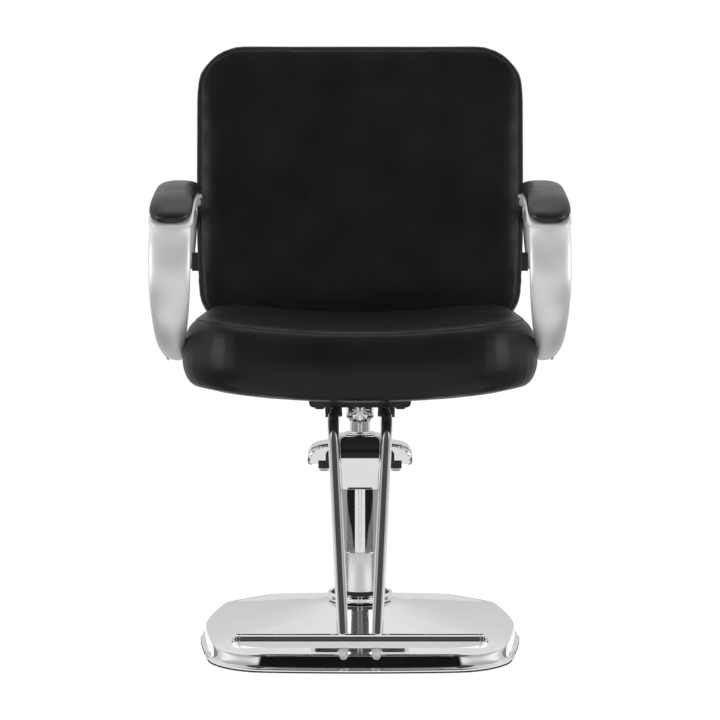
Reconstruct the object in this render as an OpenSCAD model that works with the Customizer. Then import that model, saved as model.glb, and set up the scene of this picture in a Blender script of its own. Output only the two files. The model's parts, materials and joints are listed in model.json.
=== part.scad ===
// Hairdressing chair: upholstered seat and back between two cast arms, on a foot-pumped
// column that lifts and turns, with a pressed square base and a tubular footrest.
// The column's axis is the origin, the floor is z = 0 and the chair faces -y.
// Left and right are the sitter's.

/* [Base] */
// Width and depth of the base
base_w = 486; // [440:1:540]
// Corner radius of the base's outline
base_corner_r = 105; // [80:1:140]
// How far each side of the base bows outwards
base_bow = 9; // [0:1:16]
// Height of the base's steep edge
base_skirt_h = 26; // [20:1:34]
// Height of the base where it meets the foot ring
base_rise = 61; // [50:1:72]
// Sheet thickness of the base
base_wall = 2.4; // [1.6:0.1:3.2]
// Thickness of the steel plate inside the base
base_plate_t = 5; // [3:0.5:8]
// Outer radius of the ring round the column's foot
foot_ring_r = 50; // [46:1:58]
// Height of the ring round the column's foot
foot_ring_h = 12; // [8:1:18]

/* [Column] */
// Outer radius of the column tube
column_r = 35.5; // [32:0.5:40]
// Wall of the column tube
column_wall = 2.6; // [2:0.1:4]
// Height of the column's top face
column_top = 314; // [290:1:330]
// Height of the top edge of the satin lower sleeve
sleeve_top = 138; // [110:1:170]
// Radius of the lifting piston rod
piston_r = 15.5; // [13:0.5:18]
// Lift of the seat above its lowest place
lift_travel = 150; // [100:5:160]
// Outer radius of the socket that grips the rod
socket_r = 20.7; // [19:0.1:24]
// Length of the socket below the seat's steel pan
socket_h = 31; // [25:1:36]

/* [Seat] */
// Width of the seat cushion at its widest
seat_w = 508; // [460:2:520]
// Depth of the seat cushion
seat_d = 428; // [400:2:450]
// Height of the cushion's lowest point
seat_low = 388; // [376:1:400]
// Thickness of the cushion in the middle of its front
seat_t = 98; // [84:1:110]
// How much higher the cushion's sides are than its middle
seat_dish = 14; // [6:1:20]
// Distance from the column's axis to the cushion's front
seat_front = 238; // [225:1:250]
// Thickness of the wooden seat board
board_t = 12; // [9:0.5:15]
// Width of the steel pan under the seat
plate_w = 150; // [120:2:170]
// Depth of the steel pan under the seat
plate_t = 22; // [14:0.5:26]
// Wall of the steel pan under the seat
pan_wall = 4; // [3:0.2:6]

/* [Backrest] */
// Width of the backrest near its top
back_w = 524; // [480:2:530]
// Length of the backrest along its slope
back_h = 447; // [415:1:460]
// Thickness of the whole backrest
back_t = 66; // [56:1:76]
// Backward lean of the backrest, in degrees
back_lean = 8; // [4:0.5:12]
// Corner radius of the backrest
back_corner_r = 76; // [50:2:95]
// Corner radius of the backrest behind the seat
back_low_corner_r = 46; // [34:2:76]
// How far the backrest's sides come forward of its middle
back_wrap = 12; // [0:1:20]

/* [Arms] */
// Length of an arm from its front curve to its rear leg
arm_len = 444; // [420:2:460]
// Rise of an arm from its seat bolt to its top rail
arm_h = 226; // [210:1:240]
// Full width of an arm's band
arm_band_w = 60; // [50:1:66]
// Thickness of an arm's band
arm_band_t = 16; // [12:0.5:20]
// Thickness of an arm pad
pad_t = 24; // [20:1:34]

/* [Footrest] */
// Width of a footrest tube seen from the front
tube_w = 16.4; // [14:0.2:20]
// Depth of a footrest tube's flattened section
tube_d = 30; // [24:1:34]
// Wall of a footrest tube
tube_wall = 1.8; // [1.2:0.1:2.6]
// Slope of the tubes' lower legs from the vertical, in degrees
tube_lean = 22.5; // [18:0.5:26]
// Length of the footrest bar between its end caps
bar_len = 330; // [260:2:360]
// Radius of the footrest bar
bar_r = 10; // [8:0.5:12]
// Height of the footrest bar's centre at the seat's lowest
bar_z = 68.5; // [60:0.5:80]

/* [Pedal] */
// Width of the pedal pad
pedal_w = 166; // [140:2:180]
// Depth of the pedal pad from front to back
pedal_d = 58; // [44:1:62]
// Distance from the column's axis to the pedal pad's middle
pedal_y = 155; // [145:1:160]
// Angle that the pedal is pressed down, in degrees
pedal_swing = 22; // [14:1:24]

/* [Hidden] */
$fn = 48;

// Clearances, how far a cut runs past the face it opens, and the step at a welded seam
gap = 0.3;
run_fit = 0.05;
over = 1;
seam = 0.05;

// Colours
chrome = [0.82, 0.83, 0.85];
satin = [0.72, 0.72, 0.73];
vinyl = [0.07, 0.07, 0.075];
black_steel = [0.1, 0.1, 0.11];
raw_steel = [0.55, 0.56, 0.58];
rubber = [0.05, 0.05, 0.05];
timber = [0.76, 0.62, 0.42];
plug_grey = [0.78, 0.78, 0.78];

// Rings and lofts
corner_steps = 6;
side_steps = 5;

function sum(v, i = 0) = i < len(v) ? v[i] + sum(v, i + 1) : [0, 0, 0];
function centre_of(ring) = sum(ring) / len(ring);
function flat(l) = [for (a = l) for (b = a) b];
function reversed(l) = [for (i = [len(l) - 1:-1:0]) l[i]];

// Rounded rectangle of half sizes a and b, counter-clockwise, with points along its sides
function round_rect(a, b, r) =
    let (corners = [[a - r, b - r, 0], [r - a, b - r, 90], [r - a, r - b, 180], [a - r, r - b, 270]],
         arcs = [for (c = corners)
                    [for (i = [0:corner_steps])
                        [c[0] + r * cos(c[2] + 90 * i / corner_steps),
                         c[1] + r * sin(c[2] + 90 * i / corner_steps)]]])
    flat([for (k = [0:3])
        let (from = arcs[k][corner_steps], to = arcs[(k + 1) % 4][0])
        concat(arcs[k], [for (s = [1:side_steps]) from + (to - from) * s / (side_steps + 1)])]);

// Pushes the middles of a ring's sides outwards
function bowed(ring, a, b, bow_x, bow_y) =
    [for (p = ring) [p[0] + bow_x * p[0] / a * (1 - pow(p[1] / b, 2)),
                     p[1] + bow_y * p[1] / b * (1 - pow(p[0] / a, 2))]];

// Skin between rings of equal point counts, closed at both ends by fans
module loft(rings) {
    n = len(rings[0]);
    m = len(rings);
    points = concat(flat(rings), [centre_of(rings[0]), centre_of(rings[m - 1])]);
    sides = flat([for (j = [0:m - 2]) flat([for (i = [0:n - 1])
        let (k = (i + 1) % n, a = j * n + i, b = j * n + k, c = (j + 1) * n + k, d = (j + 1) * n + i)
        [[a, c, b], [a, d, c]]])]);
    first = [for (i = [0:n - 1]) [m * n, i, (i + 1) % n]];
    last = [for (i = [0:n - 1]) [m * n + 1, (m - 1) * n + (i + 1) % n, (m - 1) * n + i]];
    polyhedron(points, concat(sides, first, last));
}

// Skin between rings that come back to the first one, round a hole
module loft_loop(rings) {
    n = len(rings[0]);
    m = len(rings);
    sides = flat([for (j = [0:m - 1]) flat([for (i = [0:n - 1])
        let (k = (i + 1) % n, q = (j + 1) % m, a = j * n + i, b = j * n + k, c = q * n + k, d = q * n + i)
        [[a, c, b], [a, d, c]]])]);
    polyhedron(flat(rings), sides);
}

// Rounded-end slot or bar outline, long along y
module stadium(w, d) {
    square([w, d - w], center = true);
    for (s = [-1, 1]) translate([0, s * (d - w) / 2]) circle(d = w);
}

// Hexagon head with a shank below it, pointing down
module hex_bolt(r, length, head_r, head_h) {
    cylinder(r = head_r, h = head_h, $fn = 6);
    translate([0, 0, -length]) cylinder(r = r, h = length);
}

// Low round head with a socket, and a shank below it
module button_bolt(r, length, head_r, head_h) {
    difference() {
        rotate_extrude() polygon([[0, 0], [head_r, 0], [head_r, head_h / 3],
                                  [head_r * 0.8, head_h * 0.85], [head_r * 0.5, head_h], [0, head_h]]);
        translate([0, 0, head_h / 2]) cylinder(r = head_r * 0.4, h = head_h, $fn = 6);
    }
    translate([0, 0, -length]) cylinder(r = r, h = length);
}

// Heights that stack up the chair
flange_t = 8;
flange_z = base_plate_t + flange_t;
plate_z = seat_low - plate_t;
board_z = seat_low;
socket_z = plate_z - socket_h;

// Base outline at a height, shrunk by an inset
base_half = base_w / 2 - base_bow;
function base_ring(inset, z) =
    let (a = base_half - inset, r = max(base_corner_r - inset, min(a * 0.98, base_corner_r * 0.5)))
    [for (p = bowed(round_rect(a, a, min(r, a * 0.98)), a, a, base_bow * a / base_half, base_bow * a / base_half))
        [p[0], p[1], z]];
function disc_ring(r, z) =
    [for (p = base_ring(0, z)) let (t = atan2(p[1], p[0])) [r * cos(t), r * sin(t), z]];
function blend_ring(a, b, share) = [for (i = [0:len(a) - 1]) a[i] * (1 - share) + b[i] * share];

// Height of the base's lip, and the rows of its outer skin as [inset share, rise share, roundness share]
lip_h = 4.6;
lip_out = 4;
shoulder = 12;
pillow_shares = [[0.13, 0.2, 0.04], [0.32, 0.36, 0.16], [0.55, 0.55, 0.42], [0.78, 0.78, 0.76], [0.93, 0.95, 0.96]];
base_bore_r = column_r + gap;

function base_rows(offset) =
    let (span = base_half - shoulder - foot_ring_r, rise = base_rise - base_skirt_h)
    concat(
        [base_ring(offset, 0), base_ring(offset, lip_h - offset / 2),
         base_ring(lip_out + offset, lip_h + over - offset / 2),
         base_ring(lip_out + shoulder * 0.1 + offset, base_skirt_h * 0.54 - offset / 2),
         base_ring(lip_out + shoulder * 0.2 + offset, base_skirt_h * 0.9 - offset),
         base_ring(lip_out + shoulder * 0.5 + offset, base_skirt_h * 1.04 - offset)],
        [for (s = pillow_shares)
            let (inset = shoulder + span * s[0])
            blend_ring(base_ring(inset, base_skirt_h + rise * s[1] - offset),
                       disc_ring(base_half - inset, base_skirt_h + rise * s[1] - offset), s[2])],
        [disc_ring(base_bore_r - over, base_rise - offset)]);

module base_shell() color(chrome) difference() {
    outer = base_rows(0);
    inner = base_rows(base_wall);
    loft_loop(concat(outer, [for (i = [len(inner) - 1:-1:0]) inner[i]]));
    translate([0, 0, base_rise / 2]) cylinder(r = base_bore_r, h = base_rise);
}

trim_w = 8;
trim_h = 3;
module base_rim_trim() color(rubber) linear_extrude(trim_h) difference() {
    polygon([for (p = base_ring(base_wall + gap, 0)) [p[0], p[1]]]);
    polygon([for (p = base_ring(base_wall + gap + trim_w, 0)) [p[0], p[1]]]);
}

flange_r = 72;
flange_bolt_pcd = 116;
flange_bolt_r = 5;
flange_bolt_count = 5;
module flange_places() for (i = [0:flange_bolt_count - 1])
    rotate([0, 0, 360 * (i + 0.5) / flange_bolt_count]) translate([flange_bolt_pcd / 2, 0, 0]) children();

module base_plate() color(raw_steel) difference() {
    linear_extrude(base_plate_t)
        polygon([for (p = base_ring(base_wall + trim_w + 2 * gap, 0)) [p[0], p[1]]]);
    flange_places() translate([0, 0, base_plate_t / 2]) cylinder(r = flange_bolt_r, h = base_plate_t);
}

module column_flange() color(raw_steel) translate([0, 0, base_plate_t]) difference() {
    cylinder(r = flange_r, h = flange_t);
    flange_places() translate([0, 0, -over]) cylinder(r = flange_bolt_r + run_fit, h = flange_t + 2 * over);
}

module column_flange_bolts() color(raw_steel)
    flange_places() translate([0, 0, flange_z])
        hex_bolt(flange_bolt_r, flange_t + base_plate_t / 2, flange_bolt_r * 1.9, flange_bolt_r * 1.3);

module foot_ring() color(chrome) {
    inner_r = column_r + sleeve_t + gap;
    edge = foot_ring_h / 2;
    translate([0, 0, base_rise + gap]) rotate_extrude($fn = 72) {
        translate([inner_r, 0]) square([foot_ring_r - edge - inner_r, foot_ring_h * 0.8]);
        translate([foot_ring_r - edge, edge]) circle(r = edge);
        translate([foot_ring_r - edge, 0]) square([edge * 0.8, edge]);
    }
}

module column_tube() color(chrome) difference() {
    translate([0, 0, flange_z]) cylinder(r = column_r, h = column_top - cap_t - flange_z, $fn = 72);
    translate([0, 0, flange_z - over])
        cylinder(r = column_r - column_wall, h = column_top - flange_z + over, $fn = 72);
}

sleeve_t = 1.6;
module lower_sleeve() color(satin) translate([0, 0, base_rise + gap]) difference() {
    cylinder(r = column_r + sleeve_t, h = sleeve_top - base_rise - gap, $fn = 72);
    translate([0, 0, -over]) cylinder(r = column_r + run_fit, h = sleeve_top, $fn = 72);
}

cap_t = 8;
cap_out = 2;
cap_spigot_h = 12;
seal_w = 4;
seal_h = 3;
module column_cap() color(chrome) translate([0, 0, column_top - cap_t]) difference() {
    union() {
        cylinder(r = column_r + cap_out, h = cap_t - over);
        translate([0, 0, cap_t - over]) cylinder(r1 = column_r + cap_out, r2 = column_r + cap_out - over, h = over);
        translate([0, 0, -cap_spigot_h])
            cylinder(r = column_r - column_wall - run_fit, h = cap_spigot_h + over);
    }
    translate([0, 0, -cap_spigot_h - over]) cylinder(r = piston_r + run_fit, h = cap_t + cap_spigot_h + 2 * over);
    translate([0, 0, cap_t - seal_h]) cylinder(r = piston_r + seal_w, h = seal_h + over);
}

module wiper_seal() color(rubber) translate([0, 0, column_top - seal_h]) difference() {
    cylinder(r = piston_r + seal_w - run_fit, h = seal_h);
    translate([0, 0, -over]) cylinder(r = piston_r + run_fit, h = seal_h + 2 * over);
}

cylinder_r = 20;
cylinder_wall = 4;
cylinder_top = column_top - cap_t - cap_spigot_h;
module pump_cylinder() color(raw_steel) translate([0, 0, flange_z]) difference() {
    cylinder(r = cylinder_r + cylinder_wall, h = cylinder_top - flange_z);
    translate([0, 0, flange_t]) cylinder(r = cylinder_r + run_fit, h = cylinder_top);
}

// Pump block, lever and plunger behind the column
pivot_y = 48;
pivot_drop = 42;
pivot_z = column_top - pivot_drop;
pin_r = 5;
lever_w = 27;
lever_h = 16;
plunger_y = 76;
plunger_r = 6;
plunger_drop = (plunger_y - pivot_y) * tan(pedal_swing) + (lever_h / 2 + plunger_r) * (1 / cos(pedal_swing) - 1);
block_w = 40;
block_drop = 40;
block_top = pivot_z - block_drop;
block_h = 28;
block_wall = 8;
block_end = plunger_y + plunger_r + block_wall;
ear_t = (block_w - lever_w) / 2 - gap;
module pump_block() color(black_steel) difference() {
    union() {
        translate([-block_w / 2, 0, block_top - block_h]) cube([block_w, block_end, block_h]);
        for (s = [-1, 1]) translate([s * (block_w - ear_t) / 2 - ear_t / 2, 0, block_top - over]) {
            cube([ear_t, pivot_y, pivot_z - block_top + over]);
            cube([ear_t, pivot_y + pin_r * 2, (pivot_z - block_top) * 0.4]);
            translate([0, pivot_y, pivot_z - block_top + over]) rotate([0, 90, 0])
                cylinder(r = pin_r * 2, h = ear_t);
        }
    }
    translate([0, 0, block_top - block_h - over])
        cylinder(r = column_r + gap, h = block_h + pivot_z - block_top + 4 * pin_r, $fn = 72);
    translate([-block_w, -over, block_top - block_h - over])
        cube([2 * block_w, over + column_r / 2, block_h + pivot_z]);
    translate([-block_w, pivot_y, pivot_z]) rotate([0, 90, 0]) cylinder(r = pin_r + run_fit, h = 2 * block_w);
    translate([0, plunger_y, block_top - block_h + plunger_r])
        cylinder(r = plunger_r + run_fit, h = block_h);
}

module lever_pivot_pin() color(raw_steel) translate([-block_w / 2, pivot_y, pivot_z]) rotate([0, 90, 0]) {
    cylinder(r = pin_r, h = block_w);
    translate([0, 0, -pin_r * 0.4]) cylinder(r = pin_r * 1.5, h = pin_r * 0.4);
    translate([0, 0, block_w]) cylinder(r = pin_r * 1.5, h = pin_r * 0.4);
}

plunger_top = pivot_z - lever_h / 2 - gap;
plunger_low = block_top - block_h + plunger_r + plunger_drop + 2 * gap;
plunger_collar_drop = 10;
plunger_collar_z = plunger_top - plunger_collar_drop;
plunger_collar_h = 3;
plunger_collar_out = 4;
module pump_plunger() color(raw_steel) translate([0, plunger_y, 0]) rotate_extrude() {
    translate([0, plunger_low]) square([plunger_r, plunger_top - plunger_r - plunger_low]);
    translate([0, plunger_top - plunger_r + seam]) intersection() {
        circle(r = plunger_r - seam);
        translate([0, -over]) square(plunger_r * 2);
    }
    translate([0, plunger_collar_z]) square([plunger_r + plunger_collar_out, plunger_collar_h]);
}

// Return spring of the plunger
spring_wire = 1.6;
spring_r = plunger_r + 1.2 + spring_wire;
spring_turns = 5;
spring_steps = 8;
spring_sides = 6;
spring_z = block_top + spring_wire / 2 + 0.2 * gap;
spring_rise = plunger_collar_z - spring_z - spring_wire / 2 - 0.2 * gap;
spring_count = spring_turns * spring_steps;
function spring_ring(i) = let (t = 360 * i / spring_steps, z = spring_z + spring_rise * i / spring_count)
    [for (k = [0:spring_sides - 1])
        let (q = -360 * k / spring_sides, r = spring_r + spring_wire / 2 * cos(q))
        [r * cos(t), r * sin(t), z + spring_wire / 2 * sin(q)]];
module plunger_spring() color(raw_steel) translate([0, plunger_y, 0])
    loft([for (i = [0:spring_count]) spring_ring(i)]);

// The spring's least gap to itself, measured between the middles of rings half a turn or more apart
spring_line = [for (i = [0:spring_count]) centre_of(spring_ring(i))];
spring_gap = min([for (i = [0:spring_count]) for (j = [i + spring_steps / 2:1:spring_count])
    norm(spring_line[i] - spring_line[j])]) - spring_wire;
echo("Least gap of the plunger's spring to itself, in mm", spring_gap);

// Lifting piston
head_h = 24;
head_space = 2;
head_z = cylinder_top - lift_travel - head_h - head_space;
module piston_rod() color(chrome) {
    translate([0, 0, head_z + over]) cylinder(r = piston_r, h = socket_z - gap - head_z - over, $fn = 64);
    translate([0, 0, socket_z - gap - over])
        cylinder(r = spigot_r, h = socket_h + over, $fn = 64);
}
spigot_r = 13.5;

module piston_head() color(raw_steel) translate([0, 0, head_z]) difference() {
    cylinder(r = cylinder_r - run_fit / 2, h = head_h);
    translate([0, 0, over]) cylinder(r = piston_r, h = head_h);
    translate([0, 0, head_h * 0.3]) difference() {
        cylinder(r = cylinder_r + over, h = piston_seal_h);
        translate([0, 0, -over]) cylinder(r = cylinder_r - piston_seal_w, h = piston_seal_h + 2 * over);
    }
}
piston_seal_w = 2.4;
piston_seal_h = 5;
module piston_seal() color(rubber) translate([0, 0, head_z + head_h * 0.3]) difference() {
    cylinder(r = cylinder_r, h = piston_seal_h);
    translate([0, 0, -over]) cylinder(r = cylinder_r - piston_seal_w, h = piston_seal_h + 2 * over);
}

washer_r = 23.8;
washer_t = 3.4;
module rest_washer() color(chrome) translate([0, 0, column_top + gap]) difference() {
    cylinder(r = washer_r, h = washer_t);
    translate([0, 0, -over]) cylinder(r = piston_r + run_fit, h = washer_t + 2 * over);
}

// Socket, plate and board that carry the seat
socket_chamfer = 4;
slit_w = 2.4;
clamp_r = 3;
clamp_z = socket_z + socket_h * 0.62;
module taper_socket() color(satin) difference() {
    union() {
        translate([0, 0, socket_z]) cylinder(r1 = socket_r - socket_chamfer, r2 = socket_r, h = socket_chamfer);
        translate([0, 0, socket_z + socket_chamfer]) cylinder(r = socket_r, h = socket_h - socket_chamfer);
    }
    translate([0, 0, socket_z - over]) cylinder(r = spigot_r + run_fit, h = socket_h + 2 * over, $fn = 64);
    translate([-slit_w / 2, -socket_r - over, socket_z - over]) cube([slit_w, socket_r, socket_h * 0.8]);
    translate([-socket_r, -clamp_y, clamp_z]) rotate([0, 90, 0]) cylinder(r = clamp_r + run_fit, h = 2 * socket_r);
}

clamp_space = 0.8;
clamp_y = spigot_r + clamp_r + clamp_space;
module clamp_screw() color(raw_steel) translate([socket_r * 0.58, -clamp_y, clamp_z]) rotate([0, 90, 0]) {
    translate([0, 0, -socket_r * 1.16]) cylinder(r = clamp_r, h = socket_r * 1.16 + clamp_r);
}

plate_d = 206;
plate_edge = 7;
plate_bolt_x = 60;
plate_bolt_y = 78;
plate_bolt_r = 4;
module plate_places() for (sx = [-1, 1], sy = [-1, 1])
    translate([sx * plate_bolt_x, sy * plate_bolt_y, 0]) children();

module support_plate() color(black_steel) difference() {
    translate([0, plate_d / 2, plate_z]) rotate([90, 0, 0]) linear_extrude(plate_d) {
        translate([plate_edge - plate_w / 2, 0]) square([plate_w - 2 * plate_edge, plate_t]);
        translate([-plate_w / 2, plate_edge]) square([plate_w, plate_t - plate_edge]);
        for (s = [-1, 1]) translate([s * (plate_w / 2 - plate_edge), plate_edge]) circle(r = plate_edge);
    }
    difference() {
        translate([pan_wall - plate_w / 2, pan_wall - plate_d / 2, plate_z + pan_wall])
            cube([plate_w - 2 * pan_wall, plate_d - 2 * pan_wall, plate_t]);
        plate_places() translate([0, 0, plate_z]) cylinder(r = plate_bolt_r * 2.2, h = 2 * plate_t);
    }
    plate_places() translate([0, 0, plate_z - over]) cylinder(r = plate_bolt_r + run_fit, h = plate_t + 2 * over);
}

module support_plate_bolts() color(raw_steel) plate_places() translate([0, 0, plate_z - gap]) mirror([0, 0, 1])
    hex_bolt(plate_bolt_r, plate_t + board_t * 0.8, plate_bolt_r * 1.8, plate_bolt_r * 1.1);

// Where the backrest stands, and the bolts that join arms, seat and back
back_low_z = 470;
back_low_y = 190;
pad_depth = 30;
frame_depth = pad_depth + 3 * gap;
frame_t = 20;
back_bolt_up = 100;
back_bolt_depth = frame_depth + frame_t / 2 - back_wrap * 0.9;
back_bolt_y = back_low_y + back_bolt_up * sin(back_lean) + back_bolt_depth * cos(back_lean);
back_bolt_z = back_low_z + back_bolt_up * cos(back_lean) - back_bolt_depth * sin(back_lean);
arm_reach_share = 0.99;
arm_front_y = back_bolt_y - arm_len * arm_reach_share;
seat_bolt_share = 0.27;
seat_bolt_y = arm_front_y + arm_len * seat_bolt_share;
seat_bolt_z = 442;

// Seat outline: wide sides, a bowed front and a straight rear
seat_corner_r = 92;
seat_bow = 14;
seat_side_bow = 6;
seat_mid_y = seat_d / 2 - seat_front;
function seat_ring(inset, z, dish) =
    let (a = seat_w / 2 - seat_side_bow - inset, b = (seat_d - seat_bow) / 2 - inset,
         r = max(seat_corner_r - inset, min(seat_corner_r * 0.4, b * 0.9)),
         ring = bowed(round_rect(a, b, r), a, b, seat_side_bow * a * 2 / seat_w, 0))
    [for (p = ring)
        let (y = p[1] + (p[1] < 0 ? -seat_bow * (1 - pow(p[0] / a, 2)) * min(1, -p[1] / b) : 0),
             x_share = min(abs(p[0]), seat_w * 0.42) / (seat_w * 0.4))
        [p[0], y + seat_mid_y + seat_bow / 2, z + dish * pow(x_share, 2)]];

// Rows of the cushion's skin from its underside to its top: inset, height share, dish share
seat_row_shares = [
    [0.36, 0, 0], [0.17, 0, 0.05], [0.08, 0.02, 0.75], [0.03, 0.085, 1], [0.006, 0.2, 1], [0, 0.37, 1],
    [0.005, 0.62, 1], [0.018, 0.84, 1], [0.042, 0.975, 1], [0.08, 1.02, 1.1], [0.19, 1.045, 1.1],
    [0.3, 1.04, 1.05], [0.38, 1.03, 1]];
rail_w = 30;
rail_h = 50;
rail_end = 39;
rail_rear_y = 125;
rail_front_y = seat_bolt_y - rail_end;
rail_inset = 22;
rail_z = seat_low + rail_inset;
rail_x = seat_w / 2 - rail_inset - rail_w;
arm_bolt_r = 4;
arm_head_r = 7.6;
arm_head_h = 4.4;

module seat_cushion() color(vinyl) difference() {
    loft([for (s = seat_row_shares)
        seat_ring(seat_w * s[0], seat_low + seat_t * s[1], seat_dish * s[2])]);
    translate([0, seat_mid_y, board_z - over]) linear_extrude(board_t + gap + over)
        polygon(round_rect(board_w / 2 + gap, board_d / 2 + gap, board_r + gap));
    for (s = [-1, 1]) {
        translate([s * (rail_x + rail_w / 2) - rail_w / 2 - gap, rail_front_y - gap, rail_z - gap])
            cube([rail_w + 2 * gap, rail_rear_y - rail_front_y + 2 * gap, rail_h + 2 * gap]);
        translate([s * rail_x, seat_bolt_y, seat_bolt_z]) rotate([0, s * 90, 0])
            cylinder(r = arm_bolt_r + gap, h = seat_w / 2);
    }
}

module seat_side_rails() color(timber) for (s = [-1, 1]) difference() {
    translate([s * (rail_x + rail_w / 2) - rail_w / 2, rail_front_y, rail_z])
        cube([rail_w, rail_rear_y - rail_front_y, rail_h]);
    translate([s * rail_x - s * over, seat_bolt_y, seat_bolt_z]) rotate([0, s * 90, 0])
        cylinder(r = arm_bolt_r + run_fit, h = rail_w + 2 * over);
}

board_w = 310;
board_d = 340;
board_r = 50;
module seat_board() color(timber) difference() {
    translate([0, seat_mid_y, board_z]) linear_extrude(board_t)
        polygon(round_rect(board_w / 2, board_d / 2, board_r));
    plate_places() translate([0, 0, board_z - over]) cylinder(r = plate_bolt_r + run_fit, h = board_t);
    for (sx = [-1, 1], y = upright_foot_ys) translate([sx * upright_x, y, board_z - over])
        cylinder(r = upright_bolt_r + run_fit, h = board_t);
}

// Arms: a band that follows a curve in the y-z plane
lug_lift = 2;
arm_low_z = seat_bolt_z - lug_lift;
arm_mid_x = 270.5;

// Each place as shares: along the arm, up the arm, band width, thickness, outward shift of the band
arm_shares = [
    [0.982, 0.505, 0.42, 0.8, 0.19], [0.980, 0.65, 0.42, 0.8, 0.19], [0.955, 0.82, 0.43, 0.9, 0.18],
    [0.885, 0.93, 0.46, 0.95, 0.16], [0.77, 0.975, 0.6, 1, 0.1], [0.6, 0.99, 0.92, 1, 0.01],
    [0.44, 0.996, 1, 1, 0], [0.28, 0.982, 1, 1, 0], [0.145, 0.93, 1, 1, 0], [0.05, 0.817, 1, 1, 0],
    [0.006, 0.652, 1, 0.97, 0], [0.008, 0.457, 0.97, 0.92, 0.005], [0.05, 0.27, 0.86, 0.85, 0.02],
    [0.126, 0.122, 0.7, 0.78, 0.045], [0.215, 0.035, 0.53, 0.75, 0.03], [0.3, 0.004, 0.42, 0.75, 0]];
arm_steps = 3;

function along(p, k, t) =
    let (a = p[max(k - 1, 0)], b = p[k], c = p[k + 1], d = p[min(k + 2, len(p) - 1)])
    (b * 2 + (c - a) * t + (a * 2 - b * 5 + c * 4 - d) * t * t + (b * 3 - a - c * 3 + d) * t * t * t) / 2;
arm_line = concat(flat([for (k = [0:len(arm_shares) - 2]) [for (s = [0:arm_steps - 1])
    along(arm_shares, k, s / arm_steps)]]), [arm_shares[len(arm_shares) - 1]]);
arm_places = [for (p = arm_line) [arm_front_y + arm_len * p[0], arm_low_z + arm_h * p[1],
    arm_band_w * p[2], arm_band_t * p[3], arm_mid_x + arm_band_w * p[4]]];

function power_sign(v, power) = sign(v) * pow(abs(v), power);
function arm_normal(i) =
    let (a = arm_places[max(i - 1, 0)], b = arm_places[min(i + 1, len(arm_places) - 1)],
         d = [b[0] - a[0], b[1] - a[1]])
    [-d[1], d[0]] / norm(d);

// One ring of an arm's band, with section corners rounded by a power
arm_sides = 16;
arm_round_share = 0.55;
function arm_ring(i) =
    let (p = arm_places[i], n = arm_normal(i))
    [for (k = [0:arm_sides - 1])
        let (t = 360 * (k + 0.5) / arm_sides,
             wx = p[2] / 2 * power_sign(cos(t), arm_round_share),
             wn = p[3] / 2 * power_sign(sin(t), arm_round_share))
        [p[4] + wx, p[0] + n[0] * wn, p[1] + n[1] * wn]];

lug_w = 24;
lug_d = 34;
lug_h = 12;
lug_x = 257;
module arm() difference() {
    union() {
        loft([for (i = [0:len(arm_places) - 1]) reversed(arm_ring(i))]);
        translate([lug_x, seat_bolt_y - lug_d / 2, seat_bolt_z - lug_h / 2 + lug_lift])
            cube([lug_w, lug_d, lug_h]);
    }
    translate([lug_x - over, seat_bolt_y, seat_bolt_z]) rotate([0, 90, 0])
        cylinder(r = arm_bolt_r + run_fit, h = arm_band_w);
    translate([lug_x + lug_w, seat_bolt_y, seat_bolt_z]) rotate([0, 90, 0])
        cylinder(r = arm_head_r + 3 * gap, h = arm_band_w);
    translate([arm_mid_x - arm_band_w, back_bolt_y, back_bolt_z]) rotate([0, 90, 0])
        cylinder(r = arm_bolt_r + run_fit, h = 2 * arm_band_w);
}
module arm_left() color(satin) arm();
module arm_right() color(satin) mirror([1, 0, 0]) arm();

// Pads: the same curve, lifted off the band, from its rear rail down to its front curve
pad_first = 13;
pad_last = 26;
pad_sides = 16;
pad_over_w = 3;
function pad_share(i) = (i - pad_first) / (pad_last - pad_first);
function pad_ring(i, narrow, thin, slide) =
    let (p = arm_places[i], n = arm_normal(i), d = [n[1], -n[0]],
         low = p[3] / 2 + gap, w = (max(p[2], arm_band_w * 0.8) + pad_over_w) / 2 * narrow,
         h = pad_t * (0.72 + 0.28 * sin(180 * min(1, pad_share(i) * 1.4))) * thin)
    [for (k = [0:pad_sides - 1])
        let (t = 360 * (k + 0.5) / pad_sides, up = power_sign(sin(t), 0.75),
             wn = low + h * (up + 1) / 2, wx = w * power_sign(cos(t), 0.7))
        [p[4] + wx, p[0] - n[0] * wn + slide * d[0], p[1] - n[1] * wn + slide * d[1]]];
// Rounded ends of a pad, as shares: width, thickness, reach beyond the last full ring
pad_end_shares = [[0.96, 0.98, 0.16], [0.8, 0.92, 0.33], [0.5, 0.8, 0.45]];
module arm_pad() loft(concat(
    [for (e = reversed(pad_end_shares)) pad_ring(pad_first, e[0], e[1], e[2] * pad_t)],
    [for (i = [pad_first:pad_last]) pad_ring(i, 1, 1, 0)],
    [for (e = pad_end_shares) pad_ring(pad_last, e[0], e[1], -e[2] * pad_t)]));
module arm_pad_left() color(vinyl) arm_pad();
module arm_pad_right() color(vinyl) mirror([1, 0, 0]) arm_pad();

module arm_seat_bolts() color(raw_steel) for (s = [0, 1]) mirror([s, 0, 0])
    translate([lug_x + lug_w + gap, seat_bolt_y, seat_bolt_z]) rotate([0, 90, 0])
        button_bolt(arm_bolt_r, lug_x + lug_w - rail_x - rail_w * 0.2, arm_head_r, arm_head_h);

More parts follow.
